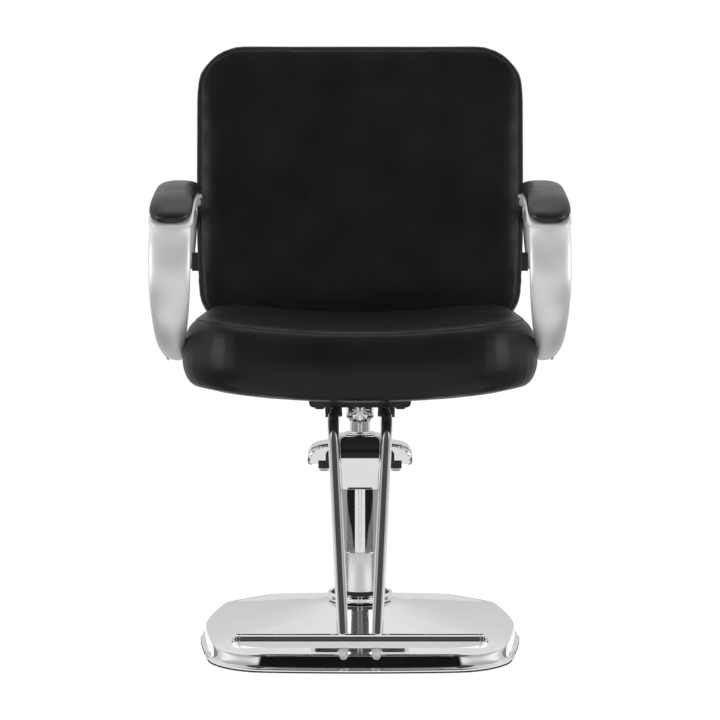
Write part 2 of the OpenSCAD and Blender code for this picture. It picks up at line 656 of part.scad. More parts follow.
// Backrest: local x across, y up the slope and z backwards from the front face
back_taper_share = 0.045;
module back_frame_of_reference() translate([0, back_low_y, back_low_z]) rotate([90 - back_lean, 0, 0])
    mirror([0, 0, 1]) children();
function back_corner(radius, inset, limit) = min(max(radius - inset, radius * 0.35), limit);
function back_ring(inset, depth) =
    let (a = back_w / 2 - inset, b = back_h / 2 - inset,
         upper = round_rect(a, b, back_corner(back_corner_r, inset, b)),
         lower = round_rect(a, b, back_corner(back_low_corner_r, inset, b)))
    [for (i = [0:len(upper) - 1])
        let (p = upper[i][1] > 0 ? upper[i] : lower[i],
             taper = 1 - back_taper_share * max(0, 0.5 - p[1] / back_h))
        [p[0] * taper, p[1] + back_h / 2, depth - back_wrap * pow(p[0] * 2 / back_w, 2)]];

// Rows of the front cushion from the rear to its front: inset share of width, depth share
back_front_shares = [[0.4, 1], [0.2, 1], [0.02, 1], [0, 0.9], [0.001, 0.55], [0.006, 0.33], [0.014, 0.2],
    [0.03, 0.07], [0.08, 0], [0.18, -0.05], [0.3, -0.07], [0.4, -0.07]];
module back_cushion() color(vinyl) back_frame_of_reference()
    loft([for (s = back_front_shares) reversed(back_ring(back_w * s[0], pad_depth * s[1]))]);

shell_wall = 3;
shell_round = 14;
shell_edge_shares = [[0.64, 0], [0.21, 0.29], [0, 1]];
function shell_face_rows(wall) = [for (s = [0.4, 0.2]) [back_w * s, back_t - wall]];
function shell_edge_rows(wall) = [for (s = shell_edge_shares)
    [wall + shell_round * s[0], back_t - wall - shell_round * s[1]]];
frame_inset = 8;
module back_bolt_holes(r) for (s = [-1, 1]) translate([s * back_w * 0.42, back_bolt_y, back_bolt_z])
    rotate([0, s * 90, 0]) cylinder(r = r, h = back_w * 0.2);

module back_frame() color(timber) difference() {
    back_frame_of_reference() loft([for (e = [[0.4, 0], [0.2, 0], [0, 0], [0, 1], [0.2, 1], [0.4, 1]])
        back_ring(max(frame_inset, back_w * e[0]), frame_depth + frame_t * e[1])]);
    back_bolt_holes(arm_bolt_r + run_fit);
    back_places() cylinder(r = upright_bolt_r + run_fit, h = 4 * frame_t, center = true);
}

module back_shell() color(vinyl) difference() {
    back_frame_of_reference() loft([for (e = concat(
        shell_face_rows(shell_wall), shell_edge_rows(shell_wall),
        [[shell_wall, pad_depth + gap], [0, pad_depth + gap]],
        reversed(shell_edge_rows(0)), reversed(shell_face_rows(0)))) back_ring(e[0], e[1])]);
    back_bolt_holes(arm_bolt_r + gap);
    back_places() cylinder(r = upright_bolt_r + gap, h = 4 * frame_t, center = true);
}

bracket_t = 11.6;
bracket_h = 29;
bracket_d = 34;
bracket_x = arm_mid_x + arm_band_w * (arm_shares[0][4] - arm_shares[0][2] / 2) - bracket_t - gap;
module arm_back_brackets() color(black_steel) for (s = [0, 1]) mirror([s, 0, 0])
    difference() {
        translate([bracket_x, back_bolt_y - bracket_d / 2, back_bolt_z - bracket_h / 2])
            cube([bracket_t, bracket_d, bracket_h]);
        translate([bracket_x - over, back_bolt_y, back_bolt_z]) rotate([0, 90, 0])
            cylinder(r = arm_bolt_r + run_fit, h = bracket_t + 2 * over);
    }

leg_out_x = arm_mid_x + arm_band_w * (arm_shares[0][4] + arm_shares[0][2] / 2);
module arm_back_bolts() color(raw_steel) for (s = [0, 1]) mirror([s, 0, 0])
    translate([leg_out_x + gap, back_bolt_y, back_bolt_z]) rotate([0, 90, 0])
        button_bolt(arm_bolt_r, leg_out_x - back_w * 0.45, arm_head_r, arm_head_h);

// Steel uprights from under the seat board to the back's rear face
upright_x = 120;
upright_w = 38;
upright_t = 4;
upright_bolt_r = 3.5;
upright_rise = 235;
foot_inset = 15;
foot_pitch = 36;
foot_rear_y = seat_mid_y + board_d / 2 - foot_inset;
upright_foot_ys = [foot_rear_y - foot_pitch, foot_rear_y];
upright_up_shares = [0.62, 0.9];
upright_z = board_z - gap - upright_t;
upright_places_up = [for (s = upright_up_shares) upright_rise * s];
module back_places() for (sx = [-1, 1], u = upright_places_up)
    translate([sx * upright_x, upright_line(u), upright_z + u * cos(back_lean)]) rotate([90 - back_lean, 0, 0])
        children();
function upright_line(u) = rear_face_y(upright_z + u * cos(back_lean));
function rear_face_y(z) = back_low_y + (z - back_low_z) * tan(back_lean) + back_t / cos(back_lean) + gap;

module back_uprights() color(black_steel) difference() {
    for (s = [-1, 1]) translate([s * upright_x - upright_w / 2, 0, 0]) rotate([90, 0, 90]) linear_extrude(upright_w)
        polygon([
            [upright_foot_ys[0] - upright_w / 2, upright_z],
            [rear_face_y(upright_z) + upright_t, upright_z],
            [rear_face_y(upright_z + upright_rise) + upright_t, upright_z + upright_rise],
            [rear_face_y(upright_z + upright_rise), upright_z + upright_rise],
            [rear_face_y(upright_z + upright_t), upright_z + upright_t],
            [upright_foot_ys[0] - upright_w / 2, upright_z + upright_t]]);
    back_places() cylinder(r = upright_bolt_r + run_fit, h = 4 * frame_t, center = true);
    for (sx = [-1, 1], y = upright_foot_ys) translate([sx * upright_x, y, upright_z - over])
        cylinder(r = upright_bolt_r + run_fit, h = upright_t + 2 * over);
}

module back_upright_bolts() color(raw_steel) {
    for (sx = [-1, 1], y = upright_foot_ys) translate([sx * upright_x, y, upright_z - gap]) mirror([0, 0, 1])
        hex_bolt(upright_bolt_r, upright_t + board_t * 0.7, upright_bolt_r * 1.8, upright_bolt_r);
    back_places() translate([0, 0, -upright_t - 2 * gap]) mirror([0, 0, 1])
        hex_bolt(upright_bolt_r, back_t - pad_depth - gap, upright_bolt_r * 1.8, upright_bolt_r);
}

// Footrest tubes: a level leg under the plate, a bend and a sloping leg
tube_x = 38.4;
tube_toe = 3;
tube_bend_r = 40;
tube_z = plate_z - gap - tube_d / 2;
tube_bend_y = -172;
tube_rear_y = 40;
tube_arc = 90 - tube_lean;
bend_end_z = tube_z - tube_bend_r + tube_bend_r * sin(tube_lean);
bend_end_y = tube_bend_y - tube_bend_r * cos(tube_lean);
tube_end_z = 52;
tube_leg = (bend_end_z - tube_end_z) / cos(tube_lean);
bar_sink = 2;
bar_y = bend_end_y - (bend_end_z - bar_z) * tan(tube_lean) - (bar_r + tube_d / 2 - bar_sink) / cos(tube_lean);

// Wall of the tube, thinned by a hair on both faces where a leg enters the bend
module tube_wall_section(slim) difference() {
    stadium(tube_w - 2 * slim, tube_d - 2 * slim);
    stadium(tube_w - 2 * tube_wall + 2 * slim, tube_d - 2 * tube_wall + 2 * slim);
}

// The tube in the plane x = 0
module bent_tube() {
    translate([0, tube_rear_y, tube_z]) rotate([90, 0, 0])
        linear_extrude(tube_rear_y - tube_bend_y + over) tube_wall_section(seam);
    translate([0, tube_bend_y, tube_z - tube_bend_r]) rotate([0, -90, 180])
        rotate_extrude(angle = tube_arc, $fn = 96) translate([tube_bend_r, 0]) rotate([0, 0, 90])
            tube_wall_section(0);
    translate([0, bend_end_y, bend_end_z]) rotate([-tube_lean, 0, 0]) translate([0, 0, -tube_leg])
        linear_extrude(tube_leg + over) tube_wall_section(seam);
}

module tube_place(s) translate([s * tube_x, 0, tube_z]) rotate([0, s * tube_toe, 0]) translate([0, 0, -tube_z])
    children();

module footrest_tube(s) difference() {
    tube_place(s) bent_tube();
    translate([-tube_x * 2, bar_y, bar_z]) rotate([0, 90, 0]) cylinder(r = bar_r + run_fit, h = tube_x * 4);
}
module footrest_tube_left() color(chrome) footrest_tube(1);
module footrest_tube_right() color(chrome) footrest_tube(-1);

clip_w = 24.6;
clip_d = 30;
clip_h = 13;
clip_top = plate_z - gap - clip_w / 2 * sin(tube_toe);
module footrest_clips() color(black_steel) for (s = [-1, 1]) tube_place(s) difference() {
    translate([-clip_w / 2, -plate_d / 2, clip_top - clip_h]) cube([clip_w, clip_d, clip_h]);
    translate([0, over - plate_d / 2 + clip_d, tube_z]) rotate([90, 0, 0]) linear_extrude(clip_d + 2 * over) {
        stadium(tube_w + gap, tube_d + gap);
        translate([-tube_w / 4, 0]) square([tube_w / 2, tube_d]);
    }
}

module footrest_bar() color(chrome) translate([-bar_len / 2, bar_y, bar_z]) rotate([0, 90, 0]) difference() {
    cylinder(r = bar_r, h = bar_len, $fn = 64);
    translate([0, 0, -over]) cylinder(r = bar_r - tube_wall, h = bar_len + 2 * over, $fn = 64);
}

cap_len = 12;
cap_plug = 14;
cap_lip = 0.4;
module footrest_bar_caps() color(chrome) for (s = [0, 1]) mirror([s, 0, 0])
    translate([bar_len / 2, bar_y, bar_z]) rotate([0, 90, 0]) rotate_extrude($fn = 64) {
        square([bar_r + cap_lip, cap_len * 0.35]);
        intersection() {
            translate([0, cap_len * 0.35]) circle(r = bar_r + cap_lip);
            translate([0, cap_len * 0.3]) square([bar_r * 2, cap_len * 0.7]);
        }
        translate([0, -cap_plug]) square([bar_r - tube_wall - run_fit, cap_plug]);
    }

plug_out = 13;
plug_in = 5;
plug_step = 2;
module footrest_tube_plugs() color(plug_grey) for (s = [-1, 1]) tube_place(s)
    translate([0, bend_end_y, bend_end_z]) rotate([-tube_lean, 0, 0]) translate([0, 0, -tube_leg]) {
        translate([0, 0, -plug_out * 0.7]) linear_extrude(plug_out * 0.7) stadium(tube_w - 2 * gap, tube_d - 2 * gap);
        translate([0, 0, -plug_out]) linear_extrude(plug_out * 0.4) stadium(tube_w - 2 * plug_step, tube_d - 2 * plug_step);
        linear_extrude(plug_in) stadium(tube_w - 2 * tube_wall - 2 * run_fit, tube_d - 2 * tube_wall - 2 * run_fit);
    }

// Web plate welded upright between the tubes, bent back at its top
web_t = 3;
web_top_z = 333;
web_low_z = 266;
web_bend_z = 309;
web_corner_r = 8;
web_turn = 24;
slot_len = 34;
slot_h = 2.6;
web_y = bend_end_y - (bend_end_z - (web_low_z + web_bend_z) / 2) * tan(tube_lean);
function web_half(z) = tube_x - (tube_z - z) * tan(tube_toe) - tube_w / 2 / cos(tube_toe) - gap;
module footrest_web() color(chrome) intersection() {
    translate([-tube_x, 0, 0]) rotate([90, 0, 90]) linear_extrude(2 * tube_x) polygon([
        [web_y, web_low_z], [web_y, web_bend_z], [web_y + web_turn, web_top_z],
        [web_y + web_turn + web_t, web_top_z], [web_y + web_t, web_bend_z - web_t / 3], [web_y + web_t, web_low_z]]);
    rotate([90, 0, 0]) linear_extrude(-bar_y) difference() {
        corner_z = web_top_z - web_corner_r;
        corner_x = web_half(corner_z) - web_corner_r;
        union() {
            polygon([[-web_half(web_low_z), web_low_z], [web_half(web_low_z), web_low_z],
                     [web_half(corner_z), corner_z], [-web_half(corner_z), corner_z]]);
            translate([-corner_x, web_low_z]) square([2 * corner_x, web_top_z - web_low_z]);
            for (s = [-1, 1]) translate([s * corner_x, corner_z]) circle(r = web_corner_r);
        }
        translate([0, web_low_z + slot_h * 1.6]) rotate([0, 0, 90]) stadium(slot_h, slot_len);
    }
}

// Pedal: lever, cross bracket, saddle pad and the bolts that hold the pad
pedal_over_pivot = 12.5;
pedal_top = pivot_z + pedal_over_pivot;
pedal_rise = 29.5;
pedal_end_r = 5;
pedal_sheet = 8;
bracket_over_pivot = 1.5;
bracket_top = pivot_z + bracket_over_pivot;
cross_w = 108;
cross_corner_r = 8;
cross_h = 17;
cross_d = 26;
cross_lead = 4;
cross_y = pedal_y - pedal_d / 2 - cross_lead;
flange_w = 131;
flange_h = 8;
flange_d = 46;
pedal_bolt_x = 57;
pedal_bolt_r = 4;
boss_r = 8;
lever_end = cross_y;
module pedal_lever() color(black_steel) difference() {
    union() {
        translate([-lever_w / 2, pivot_y, pivot_z]) rotate([0, 90, 0]) cylinder(r = lever_h / 2, h = lever_w);
        translate([-lever_w / 2, pivot_y, pivot_z - lever_h / 2]) cube([lever_w, lever_end - pivot_y, lever_h]);
    }
    translate([-lever_w, pivot_y, pivot_z]) rotate([0, 90, 0]) cylinder(r = pin_r + run_fit, h = 2 * lever_w);
}

module pedal_bracket() color(black_steel) difference() {
    union() {
        translate([0, cross_y + cross_d, bracket_top - cross_h]) rotate([90, 0, 0]) linear_extrude(cross_d) {
            translate([-cross_w / 2, 0]) square([cross_w, cross_h - cross_corner_r]);
            translate([cross_corner_r - cross_w / 2, 0]) square([cross_w - 2 * cross_corner_r, cross_h]);
            for (s = [-1, 1]) translate([s * (cross_w / 2 - cross_corner_r), cross_h - cross_corner_r])
                circle(r = cross_corner_r);
        }
        translate([-flange_w / 2, cross_y, bracket_top - cross_h - flange_h]) cube([flange_w, flange_d, flange_h]);
    }
    pedal_bolt_places() translate([0, 0, -over]) cylinder(r = pedal_bolt_r + run_fit, h = cross_h * 3);
}
module pedal_bolt_places() for (s = [-1, 1])
    translate([s * pedal_bolt_x, cross_y + cross_d + boss_r + gap, bracket_top - cross_h - flange_h]) children();

// Saddle outline from a superellipse arch
arch_power = 3;
arch_steps = 20;
function arch(a, b) = [for (i = [0:arch_steps]) let (t = 180 * i / arch_steps)
    [a * power_sign(cos(t), 2 / arch_power), b * pow(abs(sin(t)), 2 / arch_power)]];
module pedal_pad() color(chrome) {
    a = pedal_w / 2;
    translate([0, pedal_y + pedal_d / 2, pedal_top - pedal_rise]) rotate([90, 0, 0]) linear_extrude(pedal_d) {
        polygon(concat(arch(a, pedal_rise), reversed(arch(a - 2 * pedal_end_r, pedal_rise - pedal_sheet))));
        for (s = [-1, 1]) translate([s * (a - pedal_end_r), 0]) circle(r = pedal_end_r);
    }
    difference() {
        pedal_bolt_places() translate([0, 0, flange_h + gap]) cylinder(r = boss_r, h = boss_h);
        pedal_bolt_places() cylinder(r = pedal_bolt_r + run_fit, h = flange_h + boss_h - boss_skin);
    }
}
boss_skin = 2;
boss_h = pedal_top - pedal_sheet - bracket_top + cross_h - boss_skin;

module pedal_bolts() color(raw_steel) pedal_bolt_places() translate([0, 0, -gap]) mirror([0, 0, 1])
    hex_bolt(pedal_bolt_r, flange_h + boss_h * 0.6, pedal_bolt_r * 1.9, pedal_bolt_r * 1.5);

base_shell();
base_rim_trim();
base_plate();
column_flange();
column_flange_bolts();
foot_ring();
column_tube();
lower_sleeve();
column_cap();
wiper_seal();
pump_cylinder();
pump_block();
lever_pivot_pin();
plunger_spring();
piston_rod();
piston_head();
piston_seal();
rest_washer();
taper_socket();
clamp_screw();
support_plate();
support_plate_bolts();
seat_board();
seat_side_rails();
seat_cushion();
arm_left();
arm_right();
arm_pad_left();
arm_pad_right();
arm_seat_bolts();
arm_back_brackets();
arm_back_bolts();
back_cushion();
back_frame();
back_shell();
back_uprights();
back_upright_bolts();
footrest_tube_left();
footrest_tube_right();
footrest_clips();
footrest_bar();
footrest_bar_caps();
footrest_tube_plugs();
footrest_web();
pedal_lever();
pedal_bracket();
pedal_pad();
pedal_bolts();
pump_plunger();
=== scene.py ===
import json
import math

import bmesh
import bpy
from mathutils import Matrix, Vector
from mathutils.bvhtree import BVHTree
from mathutils.kdtree import KDTree

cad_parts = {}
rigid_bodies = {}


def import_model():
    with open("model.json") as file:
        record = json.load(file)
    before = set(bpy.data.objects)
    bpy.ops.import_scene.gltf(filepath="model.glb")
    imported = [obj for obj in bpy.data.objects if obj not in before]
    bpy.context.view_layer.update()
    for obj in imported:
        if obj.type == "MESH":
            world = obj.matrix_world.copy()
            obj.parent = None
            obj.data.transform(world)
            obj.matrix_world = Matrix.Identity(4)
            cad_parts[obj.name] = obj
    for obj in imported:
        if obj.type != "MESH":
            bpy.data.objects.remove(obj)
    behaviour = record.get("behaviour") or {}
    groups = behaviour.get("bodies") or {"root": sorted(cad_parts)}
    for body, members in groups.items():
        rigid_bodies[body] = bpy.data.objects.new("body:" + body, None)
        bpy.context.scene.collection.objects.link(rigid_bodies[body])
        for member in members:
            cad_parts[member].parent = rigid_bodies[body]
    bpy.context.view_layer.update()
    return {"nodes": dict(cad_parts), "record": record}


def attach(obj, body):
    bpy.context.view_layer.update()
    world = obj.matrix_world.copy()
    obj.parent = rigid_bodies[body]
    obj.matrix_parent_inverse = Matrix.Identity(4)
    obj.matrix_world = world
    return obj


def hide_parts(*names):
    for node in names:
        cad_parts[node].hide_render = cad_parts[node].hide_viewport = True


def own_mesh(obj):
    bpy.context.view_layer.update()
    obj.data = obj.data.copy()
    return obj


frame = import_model()

MM = 0.001
UP = Vector((0, 0, 1))


# Finishes

def start_finish(name, colour, metallic=0.0, roughness=0.5, **sockets):
    """A material with its even values on the shader, and the piece's own coordinates for its patterns."""
    finish = bpy.data.materials.new(name)
    finish.use_nodes = True
    tree = finish.node_tree
    shader = tree.nodes["Principled BSDF"]
    shader.inputs["Base Color"].default_value = (*colour, 1)
    shader.inputs["Metallic"].default_value = metallic
    shader.inputs["Roughness"].default_value = roughness
    for socket, value in sockets.items():
        shader.inputs[socket.replace("_", " ")].default_value = value
    where = tree.nodes.new("ShaderNodeTexCoord").outputs["Object"]
    return finish, tree, shader, where


def noise_field(tree, where, scale, stretch=(1, 1, 1), detail=3.0):
    spread = tree.nodes.new("ShaderNodeMapping")
    spread.inputs["Scale"].default_value = stretch
    tree.links.new(where, spread.inputs["Vector"])
    cloud = tree.nodes.new("ShaderNodeTexNoise")
    cloud.inputs["Scale"].default_value = scale
    cloud.inputs["Detail"].default_value = detail
    tree.links.new(spread.outputs["Vector"], cloud.inputs["Vector"])
    return cloud.outputs[0]


def cell_field(tree, where, scale, feature="F1"):
    cells = tree.nodes.new("ShaderNodeTexVoronoi")
    cells.feature = feature
    cells.inputs["Scale"].default_value = scale
    tree.links.new(where, cells.inputs["Vector"])
    return cells.outputs["Distance"]


def spread_value(tree, value, low, high, to_low, to_high):
    node = tree.nodes.new("ShaderNodeMapRange")
    for socket, number in zip(("From Min", "From Max", "To Min", "To Max"), (low, high, to_low, to_high)):
        node.inputs[socket].default_value = number
    tree.links.new(value, node.inputs["Value"])
    return node.outputs["Result"]


def shades(tree, value, stops):
    ramp = tree.nodes.new("ShaderNodeValToRGB")
    points = ramp.color_ramp.elements
    while len(points) < len(stops):
        points.new(0.5)
    for point, (place, shade) in zip(points, stops):
        point.position = place
        point.color = (*shade, 1) if hasattr(shade, "__len__") else (shade, shade, shade, 1)
    tree.links.new(value, ramp.inputs["Fac"])
    return ramp.outputs["Color"]


def relief(tree, shader, height, depth, strength=1.0):
    """Adds a bump of a height in metres on top of the bumps that are there."""
    bump = tree.nodes.new("ShaderNodeBump")
    bump.inputs["Distance"].default_value = depth
    bump.inputs["Strength"].default_value = strength
    tree.links.new(height, bump.inputs["Height"])
    if shader.inputs["Normal"].links:
        tree.links.new(shader.inputs["Normal"].links[0].from_socket, bump.inputs["Normal"])
    tree.links.new(bump.outputs["Normal"], shader.inputs["Normal"])


def arithmetic(tree, how, first, second=None):
    node = tree.nodes.new("ShaderNodeMath")
    node.operation = how
    for socket, value in zip(node.inputs, (first, second)):
        if isinstance(value, (int, float)):
            socket.default_value = value
        elif value is not None:
            tree.links.new(value, socket)
    return node.outputs[0]


def vary_sheen(tree, shader, pattern, rough, ends=(0.3, 0.7)):
    tree.links.new(spread_value(tree, pattern, *ends, *rough), shader.inputs["Roughness"])


def vary_tone(tree, shader, pattern, tones, ends=(0.3, 0.7)):
    tree.links.new(shades(tree, pattern, list(zip(ends, tones))), shader.inputs["Base Color"])


def bright_chrome():
    finish, tree, shader, where = start_finish("bright_chrome", (0.9, 0.905, 0.91), 1.0)
    wipes = noise_field(tree, where, 9, (1, 1, 2.5), 5)
    haze = noise_field(tree, where, 140, detail=2)
    vary_sheen(tree, shader, arithmetic(tree, "MULTIPLY", wipes, haze), (0.025, 0.075), (0.1, 0.5))
    vary_tone(tree, shader, wipes, ((0.87, 0.875, 0.885), (0.925, 0.93, 0.93)), (0.3, 0.75))
    relief(tree, shader, noise_field(tree, where, 26, detail=1), 0.00002, 0.5)
    return finish


def satin_silver():
    """Fine blasted and lacquered casting: an even silver with a very faint grain."""
    finish, tree, shader, where = start_finish("satin_silver", (0.9, 0.9, 0.905), 0.5, 0.4)
    cloud = noise_field(tree, where, 22, detail=4)
    vary_sheen(tree, shader, cloud, (0.38, 0.43))
    vary_tone(tree, shader, cloud, ((0.885, 0.885, 0.89), (0.915, 0.915, 0.92)))
    relief(tree, shader, noise_field(tree, where, 1500, detail=1), 0.00003, 0.3)
    return finish


def satin_plate():
    """Turned steel under a satin plating, with fine tool marks round the upright axis."""
    finish, tree, shader, where = start_finish("satin_plate", (0.88, 0.88, 0.885), 1.0, 0.18)
    marks = noise_field(tree, where, 300, (0.12, 0.12, 9), 3)
    vary_sheen(tree, shader, marks, (0.18, 0.23))
    vary_tone(tree, shader, noise_field(tree, where, 30, detail=4), (0.86, 0.9))
    relief(tree, shader, marks, 0.000006, 0.1)
    return finish


def clouded(name, colour, metallic, roughness, scale, detail, rough, tones, depth, strength):
    """A finish whose sheen, tone and fine relief all follow one cloudy pattern."""
    finish, tree, shader, where = start_finish(name, colour, metallic, roughness)
    cloud = noise_field(tree, where, scale, detail=detail)
    vary_sheen(tree, shader, cloud, rough)
    vary_tone(tree, shader, cloud, tones)
    relief(tree, shader, cloud, depth, strength)
    return finish


def black_enamel():
    finish, tree, shader, where = start_finish("black_enamel", (0.011, 0.011, 0.012), 0.0, 0.28)
    peel = noise_field(tree, where, 520, detail=2)
    vary_sheen(tree, shader, noise_field(tree, where, 40, detail=3), (0.2, 0.36))
    vary_tone(tree, shader, peel, (0.009, 0.014), (0.35, 0.7))
    relief(tree, shader, peel, 0.00006, 0.4)
    return finish


SEAM_ATTRIBUTE = "across_seam"


def black_vinyl(name="black_vinyl", grain_size=1.0, rough=(0.32, 0.42), seams=False):
    """Upholstery vinyl: pebbled grain in small cells, with the sheen a little uneven."""
    finish, tree, shader, where = start_finish(name, (0.009, 0.009, 0.0095), 0.0, 0.42, Specular_IOR_Level=0.26)
    pebble = cell_field(tree, where, 720 / grain_size, "SMOOTH_F1")
    crease = cell_field(tree, where, 410 / grain_size, "DISTANCE_TO_EDGE")
    drift = noise_field(tree, where, 16, detail=4)
    fine = noise_field(tree, where, 1300 / grain_size, detail=2)
    shine = arithmetic(tree, "ADD", arithmetic(tree, "MULTIPLY", drift, 0.3),
                       arithmetic(tree, "MULTIPLY", fine, 0.7))
    vary_sheen(tree, shader, shine, rough)
    vary_tone(tree, shader, drift, ((0.0072, 0.0072, 0.0077), (0.0115, 0.0115, 0.012)))
    relief(tree, shader, arithmetic(tree, "MINIMUM", arithmetic(tree, "MULTIPLY", crease, 3), 1), 0.00012, 0.35)
    relief(tree, shader, pebble, -0.00016, 0.4)
    relief(tree, shader, drift, 0.0005, 0.15)
    if seams:
        across = tree.nodes.new("ShaderNodeAttribute")
        across.attribute_name = SEAM_ATTRIBUTE
        away = arithmetic(tree, "ABSOLUTE", across.outputs["Fac"])
        relief(tree, shader, spread_value(tree, away, 0, 0.0011, 0, 1), 0.0011, 1)
        # Painted shade along the seam: within a millimetre of the seam line the colour goes near black, as the
        # shade in the seam's groove.
        tone = shader.inputs["Base Color"].links[0].from_socket
        seam_painted_shade = tree.nodes.new("ShaderNodeMix")
        seam_painted_shade.data_type = "RGBA"
        seam_painted_shade.inputs["A"].default_value = (0.002, 0.002, 0.002, 1)
        tree.links.new(spread_value(tree, away, 0.0002, 0.0009, 0, 1), seam_painted_shade.inputs["Factor"])
        tree.links.new(tone, seam_painted_shade.inputs["B"])
        tree.links.new(seam_painted_shade.outputs["Result"], shader.inputs["Base Color"])
    return finish


def soft_pad_skin():
    finish, tree, shader, where = start_finish("soft_pad_skin", (0.012, 0.012, 0.0125), 0.0, 0.36)
    drift = noise_field(tree, where, 35, detail=3)
    vary_sheen(tree, shader, drift, (0.3, 0.42))
    vary_tone(tree, shader, drift, (0.010, 0.015))
    relief(tree, shader, cell_field(tree, where, 950, "SMOOTH_F1"), 0.00007, 0.3)
    return finish


def stained_plywood():
    """Plywood under a near-black stain, its figure still faintly there."""
    finish, tree, shader, where = start_finish("stained_plywood", (0.02, 0.018, 0.016), 0.0, 0.6)
    figure = noise_field(tree, where, 6, (1, 14, 1), 6)
    pores = noise_field(tree, where, 90, (1, 18, 1), 4)
    both = arithmetic(tree, "ADD", arithmetic(tree, "MULTIPLY", figure, 0.7),
                      arithmetic(tree, "MULTIPLY", pores, 0.3))
    vary_tone(tree, shader, both, ((0.010, 0.009, 0.008), (0.018, 0.016, 0.014), (0.030, 0.026, 0.022)),
              (0.3, 0.55, 0.75))
    vary_sheen(tree, shader, pores, (0.5, 0.7))
    relief(tree, shader, pores, 0.0002, 0.5)
    return finish


FINISHES = {
    "chrome": bright_chrome(), "satin_metal": satin_silver(), "satin_steel": satin_plate(),
    "steel": clouded("zinc_steel", (0.6, 0.61, 0.62), 1.0, 0.3, 220, 4, (0.2, 0.42),
                     ((0.5, 0.51, 0.52), (0.66, 0.67, 0.68)), 0.00003, 0.3),
    "black_steel": black_enamel(),
    "cast_block": clouded("painted_casting", (0.02, 0.02, 0.021), 0.0, 0.5, 420, 5, (0.38, 0.6),
                          (0.014, 0.028), 0.0003, 0.6),
    "vinyl": black_vinyl(), "pad_skin": soft_pad_skin(),
    "rubber": clouded("dull_rubber", (0.014, 0.014, 0.014), 0.0, 0.6, 160, 4, (0.5, 0.75),
                      (0.011, 0.02), 0.0001, 0.4),
    "timber": stained_plywood(),
    "plug": clouded("grey_plastic", (0.86, 0.86, 0.87), 0.0, 0.4, 120, 3, (0.32, 0.5), (0.84, 0.9),
                    0.00008, 0.3),
}
SEAMED_VINYL = black_vinyl("black_vinyl_with_seam", seams=True)
THREAD = black_vinyl("black_thread", 0.3, (0.45, 0.6))


# Making pieces

def add_piece(name, bm, body, slot, *replaced, finish=None, corner=None, ease=0.0, rounds=0, weighted=False):
    """Turns a bmesh in metres into a piece that rides on a body. Past the angle corner an edge stays crisp."""
    if corner is not None:
        for edge in bm.edges:
            edge.smooth = len(edge.link_faces) == 2 and edge.calc_face_angle(0) < math.radians(corner)
    for face in bm.faces:
        face.smooth = True
    mesh = bpy.data.meshes.new(name)
    bm.to_mesh(mesh)
    bm.free()
    piece = bpy.data.objects.new(name, mesh)
    bpy.context.scene.collection.objects.link(piece)
    mesh.materials.append(finish or FINISHES[slot])
    if ease:
        soft = piece.modifiers.new("eased_edges", "BEVEL")
        soft.width, soft.segments, soft.limit_method = ease, 3, "ANGLE"
        soft.angle_limit = math.radians(32)
        soft.use_clamp_overlap = True
    if rounds:
        fine = piece.modifiers.new("fine", "SUBSURF")
        fine.levels = fine.render_levels = rounds
    if weighted or ease:
        even = piece.modifiers.new("even_shading", "WEIGHTED_NORMAL")
        even.keep_sharp = True
    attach(piece, body)
    if replaced:
        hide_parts(*replaced)
    return piece


def ring_edges(bm, ring):
    return [bm.edges.get(pair) for pair in zip(ring, ring[1:] + ring[:1])]


def skin(rows, around=False, closed=True):
    """A skin through rows of points in mm: a drawn ring, and each later row extruded from the last."""
    bm = bmesh.new()
    ring = list(bmesh.ops.create_circle(bm, segments=len(rows[0]), radius=1)["verts"])
    for vert, place in zip(ring, rows[0]):
        vert.co = Vector(place) * MM
    first, edges = ring, ring_edges(bm, ring)
    for row in rows[1:]:
        made = bmesh.ops.extrude_edge_only(bm, edges=edges)["geom"]
        fresh = {v for v in made if isinstance(v, bmesh.types.BMVert)}
        ring = [next(e.other_vert(v) for e in v.link_edges if e.other_vert(v) in fresh) for v in ring]
        for vert, place in zip(ring, row):
            vert.co = Vector(place) * MM
        edges = ring_edges(bm, ring)
    if around:
        bmesh.ops.bridge_loops(bm, edges=edges + ring_edges(bm, first))
    elif closed:
        for loop in (first, ring):
            bmesh.ops.contextual_create(bm, geom=loop)
    bmesh.ops.recalc_face_normals(bm, faces=bm.faces)
    return bm


def eased(profile, radius, steps=4, closed=True):
    """A profile with its corners rounded; a point's third number is its own radius."""
    out = []
    for i, point in enumerate(profile):
        own = point[2] if len(point) > 2 else radius
        here = Vector(point[:2])
        if not own or (not closed and i in (0, len(profile) - 1)):
            out.append(here)
            continue
        before = Vector(profile[i - 1][:2]) - here
        after = Vector(profile[(i + 1) % len(profile)][:2]) - here
        reach = min(own, before.length * 0.48, after.length * 0.48)
        start, end = here + before.normalized() * reach, here + after.normalized() * reach
        for k in range(steps + 1):
            t = k / steps
            out.append(start * (1 - t) ** 2 + here * 2 * t * (1 - t) + end * t ** 2)
    return out


